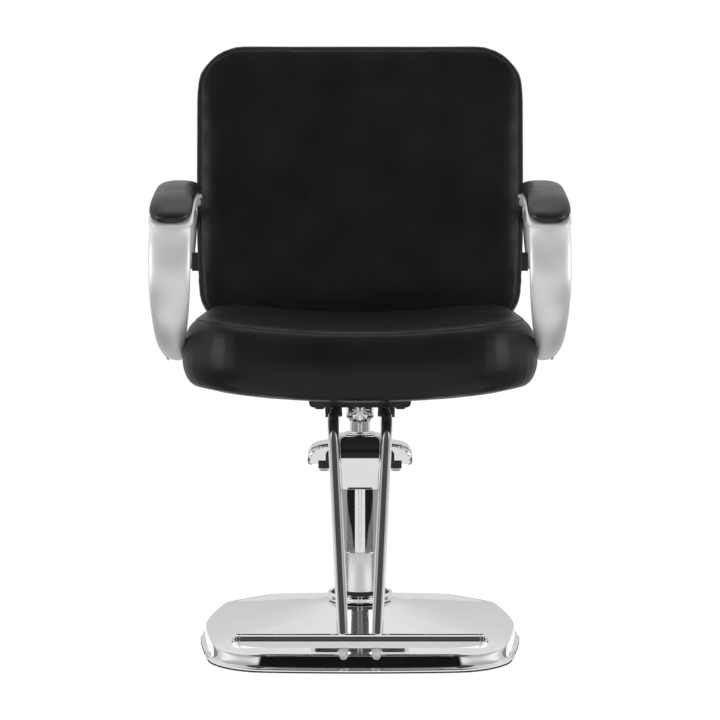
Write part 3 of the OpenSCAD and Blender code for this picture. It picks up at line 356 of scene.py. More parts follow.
def turned(profile, steps=96, closed=True, place=None, arc=360.0, start=0.0):
    """A profile of radius and height in mm, spun round the upright axis."""
    bm = bmesh.new()
    verts = [bm.verts.new((r * MM, 0, z * MM)) for r, z in profile]
    pairs = list(zip(verts, verts[1:])) + ([(verts[-1], verts[0])] if closed else [])
    edges = [bm.edges.new(pair) for pair in pairs]
    whole = arc >= 360
    if not whole:
        bmesh.ops.contextual_create(bm, geom=edges)
    bmesh.ops.rotate(bm, cent=(0, 0, 0), matrix=Matrix.Rotation(math.radians(start), 3, "Z"), verts=verts)
    geom = verts + edges + ([] if whole else list(bm.faces))
    bmesh.ops.spin(bm, geom=geom, cent=(0, 0, 0), axis=(0, 0, 1), angle=math.radians(arc), steps=steps,
                   use_merge=whole)
    bmesh.ops.remove_doubles(bm, verts=bm.verts, dist=0.000005)
    bmesh.ops.recalc_face_normals(bm, faces=bm.faces)
    if place is not None:
        bmesh.ops.transform(bm, matrix=place, verts=bm.verts)
    return bm


def eased_copy(node, body, slot, ease):
    """A CAD node's own shape with its edges broken as a finished part has them."""
    bm = bmesh.new()
    bm.from_mesh(frame["nodes"][node].data)
    bmesh.ops.remove_doubles(bm, verts=bm.verts, dist=0.000002)
    bmesh.ops.dissolve_limit(bm, angle_limit=math.radians(1), verts=bm.verts, edges=bm.edges)
    return add_piece(node + "_made", bm, body, slot, node, ease=ease * MM, corner=32)


def eased_block(centre, size, ease, segments):
    """A box in mm with its edges rounded."""
    bm = bmesh.new()
    bmesh.ops.create_cube(bm, size=1, matrix=Matrix.Translation(Vector(centre) * MM)
                          @ Matrix.Diagonal((*(Vector(size) * MM), 1)))
    bmesh.ops.bevel(bm, geom=bm.edges, offset=ease * MM, affect="EDGES", segments=segments, profile=0.5,
                    material=-1)
    return bm


def fused(shapes):
    """Several meshes as one."""
    bm = bmesh.new()
    for shape in shapes:
        mesh = bpy.data.meshes.new("part")
        shape.to_mesh(mesh)
        shape.free()
        bm.from_mesh(mesh)
        bpy.data.meshes.remove(mesh)
    return bm


# Outlines shared with the construction

def rounded_outline(half_w, half_d, radius, arc=8, side=7):
    arcs = []
    for x, y, first in ((half_w - radius, half_d - radius, 0), (radius - half_w, half_d - radius, 90),
                        (radius - half_w, radius - half_d, 180), (half_w - radius, radius - half_d, 270)):
        arcs.append([(x + radius * math.cos(math.radians(first + 90 * i / arc)),
                      y + radius * math.sin(math.radians(first + 90 * i / arc))) for i in range(arc + 1)])
    ring = []
    for k in range(4):
        ring += arcs[k]
        (x0, y0), (x1, y1) = arcs[k][-1], arcs[(k + 1) % 4][0]
        ring += [(x0 + (x1 - x0) * s / (side + 1), y0 + (y1 - y0) * s / (side + 1)) for s in range(1, side + 1)]
    return ring


def bowed(ring, half_w, half_d, bow_x, bow_y):
    return [(x + bow_x * x / half_w * (1 - (y / half_d) ** 2), y + bow_y * y / half_d * (1 - (x / half_w) ** 2))
            for x, y in ring]


def blend(first, second, share):
    return [tuple(a * (1 - share) + b * share for a, b in zip(p, q)) for p, q in zip(first, second)]


def along(points, k, t):
    """Smooth curve through rows of numbers."""
    a, b = points[max(k - 1, 0)], points[k]
    c, d = points[k + 1], points[min(k + 2, len(points) - 1)]
    return [(2 * q + (r - p) * t + (2 * p - 5 * q + 4 * r - s) * t * t + (3 * q - p - 3 * r + s) * t ** 3) / 2
            for p, q, r, s in zip(a, b, c, d)]


def smooth_line(points, steps):
    line = [along(points, k, s / steps) for k in range(len(points) - 1) for s in range(steps)]
    return line + [list(points[-1])]


def power_sign(value, power):
    return math.copysign(abs(value) ** power, value)


# Base and column

BASE_ACROSS, BASE_DEEP, BASE_CORNER, BASE_BOW_X, BASE_BOW_Y, BASE_HALF = 208, 230, 66, 35, 13, 234
SKIRT, RISE, FOOT_RING = 26, 61, 50


def base_ring(inset, z, sag=0.0):
    """The cover's outline: sides that bow out to their middle, a flatter front, corners that dip by sag."""
    across, deep = BASE_ACROSS - inset, BASE_DEEP - inset
    radius = max(BASE_CORNER + 0.7 * min(inset, 20) - 0.5 * max(0, inset - 20), 20)
    ring = []
    for x, y in rounded_outline(across, deep, min(radius, across * 0.95)):
        bow_x = BASE_BOW_X * across / BASE_ACROSS * (1 - (abs(y) / deep) ** 1.4)
        bow_y = BASE_BOW_Y * deep / BASE_DEEP * (1 - (x / across) ** 2)
        dip = sag * min(1, 3 * abs(x * y / across / deep) ** 8)
        ring.append((x + bow_x * x / across, y + bow_y * y / deep, z - dip))
    return ring


def disc_ring(radius, z):
    return [(radius * math.cos(t), radius * math.sin(t), z)
            for t in (math.atan2(y, x) for x, y, _ in base_ring(0, 0))]


def make_base():
    shoulder, corner_dip = 12, 5
    span = BASE_HALF - shoulder - FOOT_RING
    skirt = [(2.6, 1.8, 0), (0.6, 1.8, 0), (0.2, 2.3, 0), (0.2, 4.4, 0), (0.8, 5, 0), (3.2, 5.2, 0), (4.1, 6, 0),
             (5.2, 14, 2), (6.3, 23.2, 4.3), (6.7, 24.6, 4.6), (7.6, 25.5, 4.9), (9.6, 26.2, 5)]
    rows = [base_ring(inset, z, dip) for inset, z, dip in skirt]
    pillow = [(0.02, 0.02, 0.0), (0.14, 0.13, 0.02), (0.32, 0.3, 0.12), (0.55, 0.52, 0.38), (0.78, 0.76, 0.75),
              (0.93, 0.94, 0.96)]
    for inset_share, rise_share, round_share in smooth_line(pillow, 2):
        inset = shoulder + span * inset_share
        z = SKIRT + (RISE - SKIRT) * rise_share
        rows.append(blend(base_ring(inset, z, corner_dip * (1 - inset_share)), disc_ring(BASE_HALF - inset, z),
                          round_share))
    rows += [disc_ring(46, RISE), disc_ring(35.9, RISE), disc_ring(35.9, RISE - 1.6)]
    add_piece("base_cover", skin(rows, closed=False), "pump_base", "chrome", "base_shell", rounds=2)
    trim_profile = ((8, 0), (0.4, 0), (-0.2, 0.4), (-0.2, 1.4), (0.4, 1.8), (8, 1.8))
    trim = [base_ring(inset, z) for inset, z in trim_profile]
    add_piece("base_foot_trim", skin(trim, around=True), "pump_base", "rubber", "base_rim_trim", corner=50)


def turned_piece(name, body, slot, stands_for, points, ease, steps, around=128, closed=True, corner=40,
                 weighted=True):
    bm = turned(eased(points, ease, steps, closed), around, closed)
    add_piece(name, bm, body, slot, *stands_for, corner=corner, weighted=weighted)


def make_column():
    turned_piece("column_barrel", "pump_base", "chrome", ["column_tube"],
                 [(32.9, 13), (35.5, 13), (35.5, 306), (32.9, 306)], 0.3, 2)
    turned_piece("column_sleeve", "pump_base", "satin_steel", ["lower_sleeve"],
                 [(35.56, 61.4), (37.1, 61.4), (37.1, 138), (35.56, 138)], 0.5, 3)
    turned_piece("column_collar", "pump_base", "chrome", ["column_cap"],
                 [(15.56, 296), (32.8, 296), (32.8, 305.7), (37.5, 305.7, 1), (37.5, 314, 1.6), (19.6, 314, 0.5),
                  (19.6, 311), (15.56, 311)], 0.2, 4)
    turned_piece("rod_wiper", "pump_base", "rubber", ["wiper_seal"],
                 [(15.56, 311.1), (19.4, 311.1), (19.4, 313.6), (17.2, 314, 0.4), (15.7, 314.2, 0.2)], 0.3, 3, 96,
                 weighted=False)
    turned_piece("foot_collar", "pump_base", "chrome", ["foot_ring"],
                 [(37.5, 61.5), (37.5, 64.5), (43.2, 65.2, 1), (44.2, 72.6, 1.4), (46.4, 73.9, 1),
                  (49.4, 73.2, 1.6), (50.2, 67.5, 3), (49.6, 62.4, 2), (48.2, 61.5, 1)], 0.4, 5, corner=50)
    turned_piece("foot_gasket", "pump_base", "rubber", [],
                 [(37.3, 64.8), (43.6, 65.6), (42.6, 71.5, 1.5), (38.6, 78.2, 1), (37.3, 78.2)], 0.3, 3, 96,
                 weighted=False)
    turned_piece("lifting_rod", "piston", "chrome", ["piston_rod"],
                 [(0, 131), (15.5, 131), (15.5, 334.6, 0.8), (13.5, 335.2), (13.5, 365.6, 0.5), (0, 365.6)], 0, 3,
                 96, closed=False)
    turned_piece("rod_washer", "piston", "chrome", ["rest_washer"],
                 [(15.6, 314.35), (23.8, 314.35, 0.8), (23.8, 317.7, 1), (15.6, 317.7, 0.4)], 0.2, 4, 96)
    slit = 7
    socket = [(13.6, 335.05, 0.4), (16.6, 335.05, 0.5), (20.7, 339.2, 0.8), (20.7, 366, 0.2), (13.6, 366)]
    add_piece("rod_socket", turned(eased(socket, 0.2, 3), 90, arc=360 - slit, start=-90 + slit / 2),
              "seat", "satin_steel", "taper_socket", corner=38, weighted=True, finish=FINISHES["chrome"])


# Seat, back and pads: stuffed pieces

SEAT_W, SEAT_D, SEAT_LOW, SEAT_T, SEAT_DISH, SEAT_FRONT = 508, 428, 388, 98, 14, 238
SEAT_CORNER, SEAT_BOW, SEAT_SIDE_BOW = 92, 14, 6
SEAT_MID = SEAT_D / 2 - SEAT_FRONT


def seat_ring(inset, z, dish):
    a, b = SEAT_W / 2 - SEAT_SIDE_BOW - inset, (SEAT_D - SEAT_BOW) / 2 - inset
    radius = max(SEAT_CORNER - inset, min(SEAT_CORNER * 0.4, b * 0.9))
    ring = []
    for x, y in bowed(rounded_outline(a, b, radius), a, b, SEAT_SIDE_BOW * a * 2 / SEAT_W, 0):
        x *= 1 + 0.027 * math.exp(-((y + 140) / 95) ** 2)
        if y < 0:
            y -= SEAT_BOW * (1 - (x / a) ** 2) * min(1, -y / b)
        share = min(abs(x), SEAT_W * 0.42) / (SEAT_W * 0.4)
        ring.append((x, y + SEAT_MID + SEAT_BOW / 2, z + dish * share ** 2))
    return ring


BACK_W, BACK_H, BACK_T, BACK_LEAN, BACK_CORNER, BACK_WRAP = 524, 447, 66, 8, 77, 12
BACK_TAPER, BACK_LOW_CORNER = 0.33, 46
BACK_FOOT = Vector((0, 190, 470))
BACK_PLACE = (Matrix.Translation(BACK_FOOT) @ Matrix.Rotation(math.radians(90 - BACK_LEAN), 4, "X")
              @ Matrix.Diagonal((1, 1, -1, 1)))


def bolster_rise(x):
    """How far the groove inside the back's rolled sides goes back, and how far the rolls come forward."""
    return 3.2 * math.exp(-((x - 206) / 13) ** 2) - 4.5 * math.exp(-((x - 237) / 15) ** 2)


FACE_DEPTH = 10


def back_ring(inset, depth):
    a, b = BACK_W / 2 - inset, BACK_H / 2 - inset
    upper, lower = (rounded_outline(a, b, min(max(r - inset, r * 0.35), b))
                    for r in (BACK_CORNER, BACK_LOW_CORNER))
    ring = []
    for high, low in zip(upper, lower):
        x, y = high if high[1] > 0 else low
        x *= 1 - BACK_TAPER * max(0, -y / BACK_H) ** 3
        y -= (0.8 + 1.8 * (x * 2 / BACK_W) ** 2) * max(0, y * 2 / BACK_H)
        rise = bolster_rise(abs(x)) * max(0, min(1, (FACE_DEPTH - depth) / FACE_DEPTH))
        wrap = BACK_WRAP * (x * 2 / BACK_W) ** 2
        ring.append(tuple(BACK_PLACE @ Vector((x, y + BACK_H / 2, depth + rise - wrap))))
    return ring


CLOTH_STEPS, SEWN_REACH, SEAM_REACH = 20, 0.006, 0.03
CUSHION_VOXEL, CUSHION_SWELL, CUSHION_PRESSURE = 0.006, 0.006, 4.0
PAD_VOXEL, PAD_SWELL, PAD_PRESSURE = 0.0035, 0.0012, 2.0
BROAD, PULL_ROUNDS = 0.86, 16


def blow_up(form, pinned, swell, pressure):
    """Runs the form as stuffed cloth with no gravity, held where pinned says so, and caps how far it goes."""
    before = [v.co.copy() for v in form.data.vertices]
    cloth = form.modifiers.new("stuffing", "CLOTH")
    cloth.settings.use_pressure = True
    cloth.settings.uniform_pressure_force = pressure
    cloth.settings.effector_weights.gravity = 0
    cloth.settings.quality = 4
    cloth.collision_settings.use_collision = False
    if pinned is not None:
        held = form.vertex_groups.new(name="sewn")
        held.add([v.index for v in form.data.vertices if pinned(v.co)], 1.0, "REPLACE")
        cloth.settings.vertex_group_mass = "sewn"
    for step in range(1, CLOTH_STEPS + 1):
        bpy.context.scene.frame_set(step)
    view = bpy.context.evaluated_depsgraph_get()
    blown = bpy.data.meshes.new_from_object(form.evaluated_get(view))
    form.modifiers.clear()
    for v, old in zip(blown.vertices, before):
        move = v.co - old
        if move.length > swell:
            v.co = old + move.normalized() * swell
    form.data = blown
    bpy.context.scene.frame_set(1)


def settled_mesh(bm, voxel, swell, pressure, pinned=None, broad_way=None):
    """A closed form, remeshed evenly, blown up as stuffed cloth and subdivided once. Folds on the faces that
    look along broad_way are pulled smooth, as on a cover that fits tightly."""
    mesh = bpy.data.meshes.new("cover")
    bm.to_mesh(mesh)
    bm.free()
    form = bpy.data.objects.new("cover", mesh)
    bpy.context.scene.collection.objects.link(form)
    remesh = form.modifiers.new("even_cloth", "REMESH")
    remesh.mode, remesh.voxel_size = "VOXEL", voxel
    view = bpy.context.evaluated_depsgraph_get()
    mesh = bpy.data.meshes.new_from_object(form.evaluated_get(view))
    form.modifiers.clear()
    form.data = mesh
    blow_up(form, pinned, swell, pressure)
    bm = bmesh.new()
    bm.from_mesh(form.data)
    bpy.data.objects.remove(form)
    if broad_way is not None:
        bm.normal_update()
        broad = [v for v in bm.verts if abs(v.normal.dot(broad_way)) > BROAD]
        for _ in range(PULL_ROUNDS):
            bmesh.ops.smooth_vert(bm, verts=broad, factor=0.5, use_axis_x=True, use_axis_y=True,
                                  use_axis_z=True)
    bmesh.ops.subdivide_edges(bm, edges=bm.edges, cuts=1, use_grid_fill=True, smooth=1.0)
    return bm


def point_tree(points):
    tree = KDTree(len(points))
    for i, point in enumerate(points):
        tree.insert(point, i)
    tree.balance()
    return tree


def dense_path(points, pitch=1.0):
    """Closed path in metres with a point about every mm."""
    out = []
    for p, q in zip(points, points[1:] + points[:1]):
        p, q = Vector(p), Vector(q)
        count = max(1, round((q - p).length / pitch))
        out += [p.lerp(q, k / count) * MM for k in range(count)]
    return out


def lay_on(bm, path):
    """The path moved onto the surface, with the surface's normals."""
    tree = BVHTree.FromBMesh(bm)
    found = [tree.find_nearest(p) for p in path]
    return [f[0] for f in found], [f[1] for f in found]


def sew_seam(bm, path, depth, width):
    """Draws the cloth in along a path and stores each point's distance across it."""
    places, normals = lay_on(bm, path)
    count = len(places)
    tree = point_tree(places)
    layer = bm.verts.layers.float.new(SEAM_ATTRIBUTE)
    for v in bm.verts:
        v[layer] = SEAM_REACH
    bm.normal_update()
    moves = []
    for v in bm.verts:
        place, i, far = tree.find(v.co)
        if far > SEAM_REACH:
            continue
        tangent = (places[(i + 2) % count] - places[i - 2]).normalized()
        side = tangent.cross(normals[i]).normalized()
        signed = (v.co - place).dot(side)
        if abs(signed) < abs(v[layer]):
            v[layer] = signed
        moves.append((v, v.normal * depth * math.exp(-(far / width) ** 2)))
    for v, move in moves:
        v.co -= move
    return places, normals


def stitches(name, seam, offset, body, pitch=5.2, length=3.4, thick=0.45):
    """A row of thread stitches beside a seam."""
    places, normals = seam
    bm = bmesh.new()
    count, run, step = len(places), 0.0, pitch * MM
    for i in range(count):
        run += (places[(i + 1) % count] - places[i]).length
        if run < step:
            continue
        run -= step
        tangent = (places[(i + 3) % count] - places[i - 3]).normalized()
        normal = normals[i]
        side = tangent.cross(normal).normalized()
        middle = places[i] + side * offset * MM + normal * thick * 0.25 * MM
        turn = Matrix((tangent, side, normal)).transposed().to_4x4()
        size = Matrix.Diagonal((length / 2 * MM, thick * MM, thick * MM, 1))
        place = Matrix.Translation(middle) @ turn @ size @ Matrix.Rotation(math.pi / 2, 4, "Y")
        bmesh.ops.create_uvsphere(bm, u_segments=6, v_segments=4, radius=1, matrix=place)
    add_piece(name, bm, body, "vinyl", finish=THREAD)


def cushion(name, stands_for, rows, seam_line, fixed, broad_way, depth, width):
    """A stuffed cover with one seam round it, held at the seam and where it is fixed; and its seam."""
    tree = point_tree(seam_line)
    bm = settled_mesh(skin(rows), CUSHION_VOXEL, CUSHION_SWELL, CUSHION_PRESSURE,
                      lambda place: fixed(place) or tree.find(place)[2] < SEWN_REACH, broad_way)
    seam = sew_seam(bm, seam_line, depth, width)
    return add_piece(name, bm, "seat", "vinyl", stands_for, finish=SEAMED_VINYL), seam


def make_seat():
    shares = [(0.36, 0, 0.9), (0.2, 0, 0.9), (0.13, -0.015, 0.9), (0.075, -0.04, 0.9), (0.035, -0.005, 0.95),
              (0.012, 0.11, 1), (0.001, 0.32, 1), (0.004, 0.62, 1), (0.018, 0.84, 1), (0.042, 0.975, 1),
              (0.08, 1.02, 1.1), (0.19, 1.045, 1.1), (0.3, 1.04, 1.05), (0.38, 1.03, 1)]
    larger = 0.5
    rows = [seat_ring(SEAT_W * i - larger, SEAT_LOW - larger + (SEAT_T + larger * 1.6) * h, SEAT_DISH * d)
            for i, h, d in smooth_line(shares, 2)]
    seam_line = dense_path(seat_ring(SEAT_W * 0.042, SEAT_LOW + SEAT_T * 0.99, SEAT_DISH))
    seat, seam = cushion("seat_cover", "seat_cushion", rows, seam_line,
                         lambda place: place.z < (SEAT_LOW + 12) * MM, UP, 0.0009, 0.0026)
    stitches("seat_stitch", seam, 3.0, "seat", 4.4, 3.0, 0.4)


def make_back():
    front = [(0.4, 1), (0.2, 1), (0.02, 1), (0.002, 0.92), (0.001, 0.55), (0.006, 0.33), (0.014, 0.2), (0.03, 0.07),
             (0.08, 0), (0.18, -0.05), (0.3, -0.07), (0.4, -0.07)]
    depth = 30
    rows = [back_ring(BACK_W * i, depth * d) for i, d in smooth_line(front, 2)]
    seam_line = dense_path(back_ring(BACK_W * 0.012, depth * 0.24))
    rear = Vector((0, math.cos(math.radians(BACK_LEAN)), -math.sin(math.radians(BACK_LEAN))))
    cover, seam = cushion("back_cover", "back_cushion", rows, seam_line,
                          lambda place: (place - BACK_FOOT * MM).dot(rear) > (depth - 6) * MM, rear,
                          0.0014, 0.003)
    stitches("back_stitch", seam, 3.2, "seat")

    shell = [(BACK_W * 0.45, BACK_T - 3), (BACK_W * 0.2, BACK_T - 3), (12, BACK_T - 3), (6, BACK_T - 7),
             (3, BACK_T - 17), (3, 31.5), (0.3, 30.5), (0, 32), (0, BACK_T - 14), (1.2, BACK_T - 7.5),
             (4, BACK_T - 3), (9, BACK_T - 0.4), (BACK_W * 0.08, BACK_T), (BACK_W * 0.2, BACK_T),
             (BACK_W * 0.45, BACK_T)]
    add_piece("back_outer", skin([back_ring(i, d) for i, d in shell]), "seat", "vinyl", "back_shell", rounds=2)


# Arms and their pads

ARM_FRONT, ARM_LOW, ARM_LEN, ARM_H, ARM_MID = -205.9, 440, 444, 226, 270.5
BAND_W, BAND_T, PAD_T = 60, 16, 24
ARM_SHARES = [
    (0.982, 0.505, 0.42, 0.8, 0.19), (0.980, 0.65, 0.5, 0.8, 0.14), (0.955, 0.82, 0.56, 0.9, 0.11),
    (0.885, 0.93, 0.58, 0.95, 0.1), (0.77, 0.975, 0.66, 1, 0.08), (0.6, 0.99, 0.92, 1, 0.01),
    (0.44, 0.996, 1, 1, 0), (0.28, 0.982, 1, 1, 0), (0.145, 0.93, 1, 1, 0), (0.05, 0.817, 1, 1, 0),
    (0.006, 0.652, 1, 0.97, 0), (0.008, 0.457, 0.97, 0.92, 0.005), (0.05, 0.27, 0.86, 0.85, 0.02),
    (0.126, 0.122, 0.7, 0.78, 0.045), (0.215, 0.035, 0.53, 0.75, 0.03), (0.3, 0.004, 0.42, 0.75, 0)]
ARM_STEPS = 6
ARM_LINE = [(ARM_FRONT + ARM_LEN * y, ARM_LOW + ARM_H * z, BAND_W * w, BAND_T * t, ARM_MID + BAND_W * x)
            for y, z, w, t, x in smooth_line(ARM_SHARES, ARM_STEPS)]


BAND_SIDES, PAD_SIDES = 48, 36
FIRST_PAD, LAST_PAD, PAD_TIP, PAD_PITCH, NOSE_RUN = 26, 52, 13, 7.6, 34


def arm_place(i, side, across, off, slide):
    """A point at place i of the arm's line: across the band, off it along its normal and slid along it."""
    y, z, _, _, x = ARM_LINE[i]
    a, b = ARM_LINE[max(i - 1, 0)], ARM_LINE[min(i + 1, len(ARM_LINE) - 1)]
    n = Vector((a[1] - b[1], b[0] - a[0])).normalized()
    return side * (x + across), y + n[0] * off + n[1] * slide, z + n[1] * off - n[0] * slide


def band_ring(i, side, slimmer=0.0, slide=0.0):
    """Ring round the arm's band at place i: its outer face is crowned and its lower part rounder."""
    width, half_thick = ARM_LINE[i][2] - slimmer, (ARM_LINE[i][3] - slimmer) / 2
    rounder = min(1, max(0, (i - 9.5 * ARM_STEPS) / (2.5 * ARM_STEPS)))
    ring = []
    for k in range(BAND_SIDES):
        a = math.tau * (k + 0.5) / BAND_SIDES
        across = width / 2 * power_sign(math.cos(a), 0.42 + 0.3 * rounder)
        off = half_thick * power_sign(math.sin(a), 0.5 + 0.25 * rounder)
        if math.sin(a) < 0:
            off -= 2.2 * (1 - abs(across * 2 / width) ** 1.4)
        ring.append(arm_place(i, side, across, off, slide))
    return ring


def pad_ring(i, side, narrow, thin, slide, swell, low, high, arched, round_off=0.72):
    """Ring on the band's outer side, flat below and arched on top; with high None it is as high as the pad."""
    width = (max(ARM_LINE[i][2], BAND_W * 0.8) + 3 + swell) * narrow
    base = ARM_LINE[i][3] / 2 + low
    share = min(1, 1.4 * (i - FIRST_PAD) / (LAST_PAD - FIRST_PAD))
    rise = (high or PAD_T * (0.72 + 0.28 * math.sin(math.pi * share))) * thin
    ring = []
    for k in range(PAD_SIDES):
        a = math.tau * (k + 0.5) / PAD_SIDES
        up = math.sin(a)
        arch = 0.34 + 0.66 * up ** arched if up > 0 else 0.34 - 0.34 * abs(up) ** 0.6
        across = width / 2 * power_sign(math.cos(a), round_off if up > 0 else 0.72)
        ring.append(arm_place(i, side, across, -(base + rise * arch), slide))
    return ring[::-1]


def nose_ring(i, side, slide, reach):
    """A ring of the pad: near an end its width and its height fall on one smooth curve."""
    u = min(1, max(0, 1 - reach / NOSE_RUN))
    wide, thick = (1 - u ** 2.7) ** (1 / 2.7), (1 - u ** 2.8) ** (1 / 2.8)
    return pad_ring(i, side, max(wide, 0.3), 0.81 * (0.42 + 0.58 * thick), slide, 1, 4.4, None, 0.86, 0.84)


def make_arm(side):
    name = "left" if side > 0 else "right"
    last = len(ARM_LINE) - 1
    rows = [band_ring(0, side, 3, -1.2), band_ring(0, side, 0.8, -0.6)]
    rows += [band_ring(i, side) for i in range(last + 1)]
    rows += [band_ring(last, side, 0.8, 0.6), band_ring(last, side, 3, 1.2)]
    lug = eased_block((side * 269, -86, 444), (24, 34, 12), 2.2, 4)
    add_piece("arm_band_" + name, fused([skin(rows), lug]), "seat", "satin_metal", "arm_" + name, corner=50)

    padded = range(FIRST_PAD, LAST_PAD + 1)
    tray = [(0.985, 1, 3.5), (0.93, 1, 8), (0.82, 0.95, 12.5), (0.64, 0.9, 16), (0.4, 0.8, 18.2)]
    lip = [(0.985, 1, 3.2), (0.92, 1, 7.4), (0.8, 0.95, 11), (0.62, 0.9, 13.6), (0.4, 0.8, 15.2)]
    for start, ends, form in (("arm_tray_", tray, (1.6, -2.5, 5.2, 0.4)),
                              ("arm_lip_", lip, (0.6, 0.5, 3.8, 0.3))):
        rows = [pad_ring(FIRST_PAD, side, w, t, -s, *form) for w, t, s in reversed(ends)]
        rows += [pad_ring(i, side, 1, 1, 0, *form) for i in padded]
        rows += [pad_ring(LAST_PAD, side, w, t, s, *form) for w, t, s in ends]
        add_piece(start + name, skin(rows), "seat", "satin_metal", corner=50, rounds=1)

    tips = (4, 7.5, 10, 11.6, 12.4)
    rows = [nose_ring(FIRST_PAD, side, -s, PAD_TIP - s) for s in reversed(tips)]
    rows += [nose_ring(i, side, 0, PAD_TIP + PAD_PITCH * min(i - FIRST_PAD, LAST_PAD - i)) for i in padded]
    rows += [nose_ring(LAST_PAD, side, s, PAD_TIP - s) for s in tips]
    pad = add_piece("arm_rest_" + name, settled_mesh(skin(rows), PAD_VOXEL, PAD_SWELL, PAD_PRESSURE), "seat",
                    "pad_skin", "arm_pad_" + name)


# Footrest

TUBE_X, TUBE_TOE, TUBE_LEAN = 38.4, 3, 22.5
TUBE_W, TUBE_D, BEND_R, BEND_Y, TUBE_Z, TUBE_REAR, TUBE_END = 16.4, 30, 40, -172, 350.7, 40, 52
LEAN, TURN, LEVEL = math.radians(TUBE_LEAN), math.radians(90 - TUBE_LEAN), TUBE_REAR - BEND_Y
BEND_END = (BEND_Y - BEND_R * math.cos(LEAN), TUBE_Z - BEND_R + BEND_R * math.sin(LEAN))
TUBE_LENGTH = LEVEL + BEND_R * TURN + (BEND_END[1] - TUBE_END) / math.cos(LEAN)
BAR_LEN, BAR_R, BAR_Z = 330, 10, 68.5
BAR_Y = BEND_END[0] - (BEND_END[1] - BAR_Z) * math.tan(LEAN) - (BAR_R + TUBE_D / 2 - 2) / math.cos(LEAN)


def oval_section(width, depth, arc=12, side=4):
    """Flat-oval section, long along its second direction."""
    r, straight = width / 2, (depth - width) / 2
    ring = [(r * math.cos(a), straight + r * math.sin(a)) for a in (math.pi * i / arc for i in range(arc + 1))]
    ring += [(-r, straight * (1 - 2 * s / (side + 1))) for s in range(1, side + 1)]
    return ring + [(-x, -y) for x, y in ring]


def tube_station(distance):
    """Place and forward direction on the tube's middle line in its own plane, from the rear end on."""
    if distance <= LEVEL:
        return (TUBE_REAR - distance, TUBE_Z), (-1, 0)
    a = min((distance - LEVEL) / BEND_R, TURN)
    rest = max(0, distance - LEVEL - BEND_R * TURN)
    dy, dz = -math.cos(a), -math.sin(a)
    return (BEND_Y + BEND_R * dz + rest * dy, TUBE_Z - BEND_R - BEND_R * dy + rest * dz), (dy, dz)


def tube_ring(distance, side, slim=0.0, past=0.0):
    """Ring round a toed-in tube, slimmer by slim all round and moved on along the tube by past."""
    (y, z), (dy, dz) = tube_station(distance)
    toe = Matrix.Rotation(math.radians(side * TUBE_TOE), 3, "Y")
    ring = []
    for across, deep in oval_section(TUBE_W - 2 * slim, TUBE_D - 2 * slim):
        place = toe @ Vector((across, y + dz * deep, z - dy * deep - TUBE_Z))
        ring.append((place.x + side * TUBE_X, place.y + dy * past, place.z + TUBE_Z + dz * past))
    return ring


def make_footrest():
    bent = LEVEL + BEND_R * TURN
    stops = [0, 0.6, 2, 30, 70, 110, 150, LEVEL - 20, LEVEL - 6, LEVEL]
    stops += [LEVEL + BEND_R * TURN * k / 14 for k in range(1, 15)]
    stops += [bent + d for d in (6, 20, 60, 110, 160, 210)] + [TUBE_LENGTH - 2, TUBE_LENGTH - 0.6, TUBE_LENGTH]
    for side, name in ((1, "left"), (-1, "right")):
        rows = [tube_ring(s, side, slim) for s, slim in ((14, 1.8), (1, 1.8), (0.1, 1.5), (0, 0.8))]
        rows += [tube_ring(s, side, 0.15 if s in (0, TUBE_LENGTH) else 0) for s in stops]
        rows += [tube_ring(TUBE_LENGTH - s, side, slim) for s, slim in ((0, 0.8), (1, 1.8), (8, 1.8))]
        add_piece("footrest_leg_" + name, skin(rows), "seat", "chrome", "footrest_tube_" + name, rounds=1)
    plug = [(-4, 2), (0.4, 2), (0.5, 1.4), (3.5, 1.6), (8, 2.4), (10.6, 3.2), (12.2, 4.6), (12.9, 6.4)]
    ferrule = [(-7, 0.1), (-6.8, -2.4), (-5.6, -2.7), (-1.2, -1.2), (0.2, -0.3), (0.3, 1.6)]
    for name, slot, stands_for, profile in (("footrest_feet", "plug", ["footrest_tube_plugs"], plug),
                                            ("footrest_ferrules", "rubber", [], ferrule)):
        pair = [skin([tube_ring(TUBE_LENGTH, side, slim, past) for past, slim in profile]) for side in (1, -1)]
        add_piece(name, fused(pair), "seat", slot, *stands_for, corner=50)
    across = Matrix.Translation(Vector((0, BAR_Y, BAR_Z)) * MM) @ Matrix.Rotation(math.pi / 2, 4, "Y")
    half = BAR_LEN / 2
    bar = eased([(8.2, -half), (BAR_R, -half), (BAR_R, half), (8.2, half)], 0.3, 3)
    add_piece("footrest_crossbar", turned(bar, 96, place=across), "seat", "chrome", "footrest_bar", corner=40,
              weighted=True)
    cap = eased([(0, -13), (8.1, -13, 0.5), (8.1, 0.3), (9.6, 0.3, 0.3), (10.4, 0.9, 0.5), (10.4, 4.4, 0.6),
                 (9.9, 4.9, 0.3), (9.9, 5.6, 0.3), (9.6, 7.4, 1.4), (7.4, 10.6, 2.2), (3.6, 12, 2.4), (0, 12.2)],
                0.2, 4, False)
    caps = [turned(cap, 64, False, across @ Matrix.Rotation(flip, 4, "X")
                   @ Matrix.Translation((0, 0, half * MM))) for flip in (0, math.pi)]
    add_piece("footrest_end_caps", fused(caps), "seat", "chrome", "footrest_bar_caps", corner=40, weighted=True)


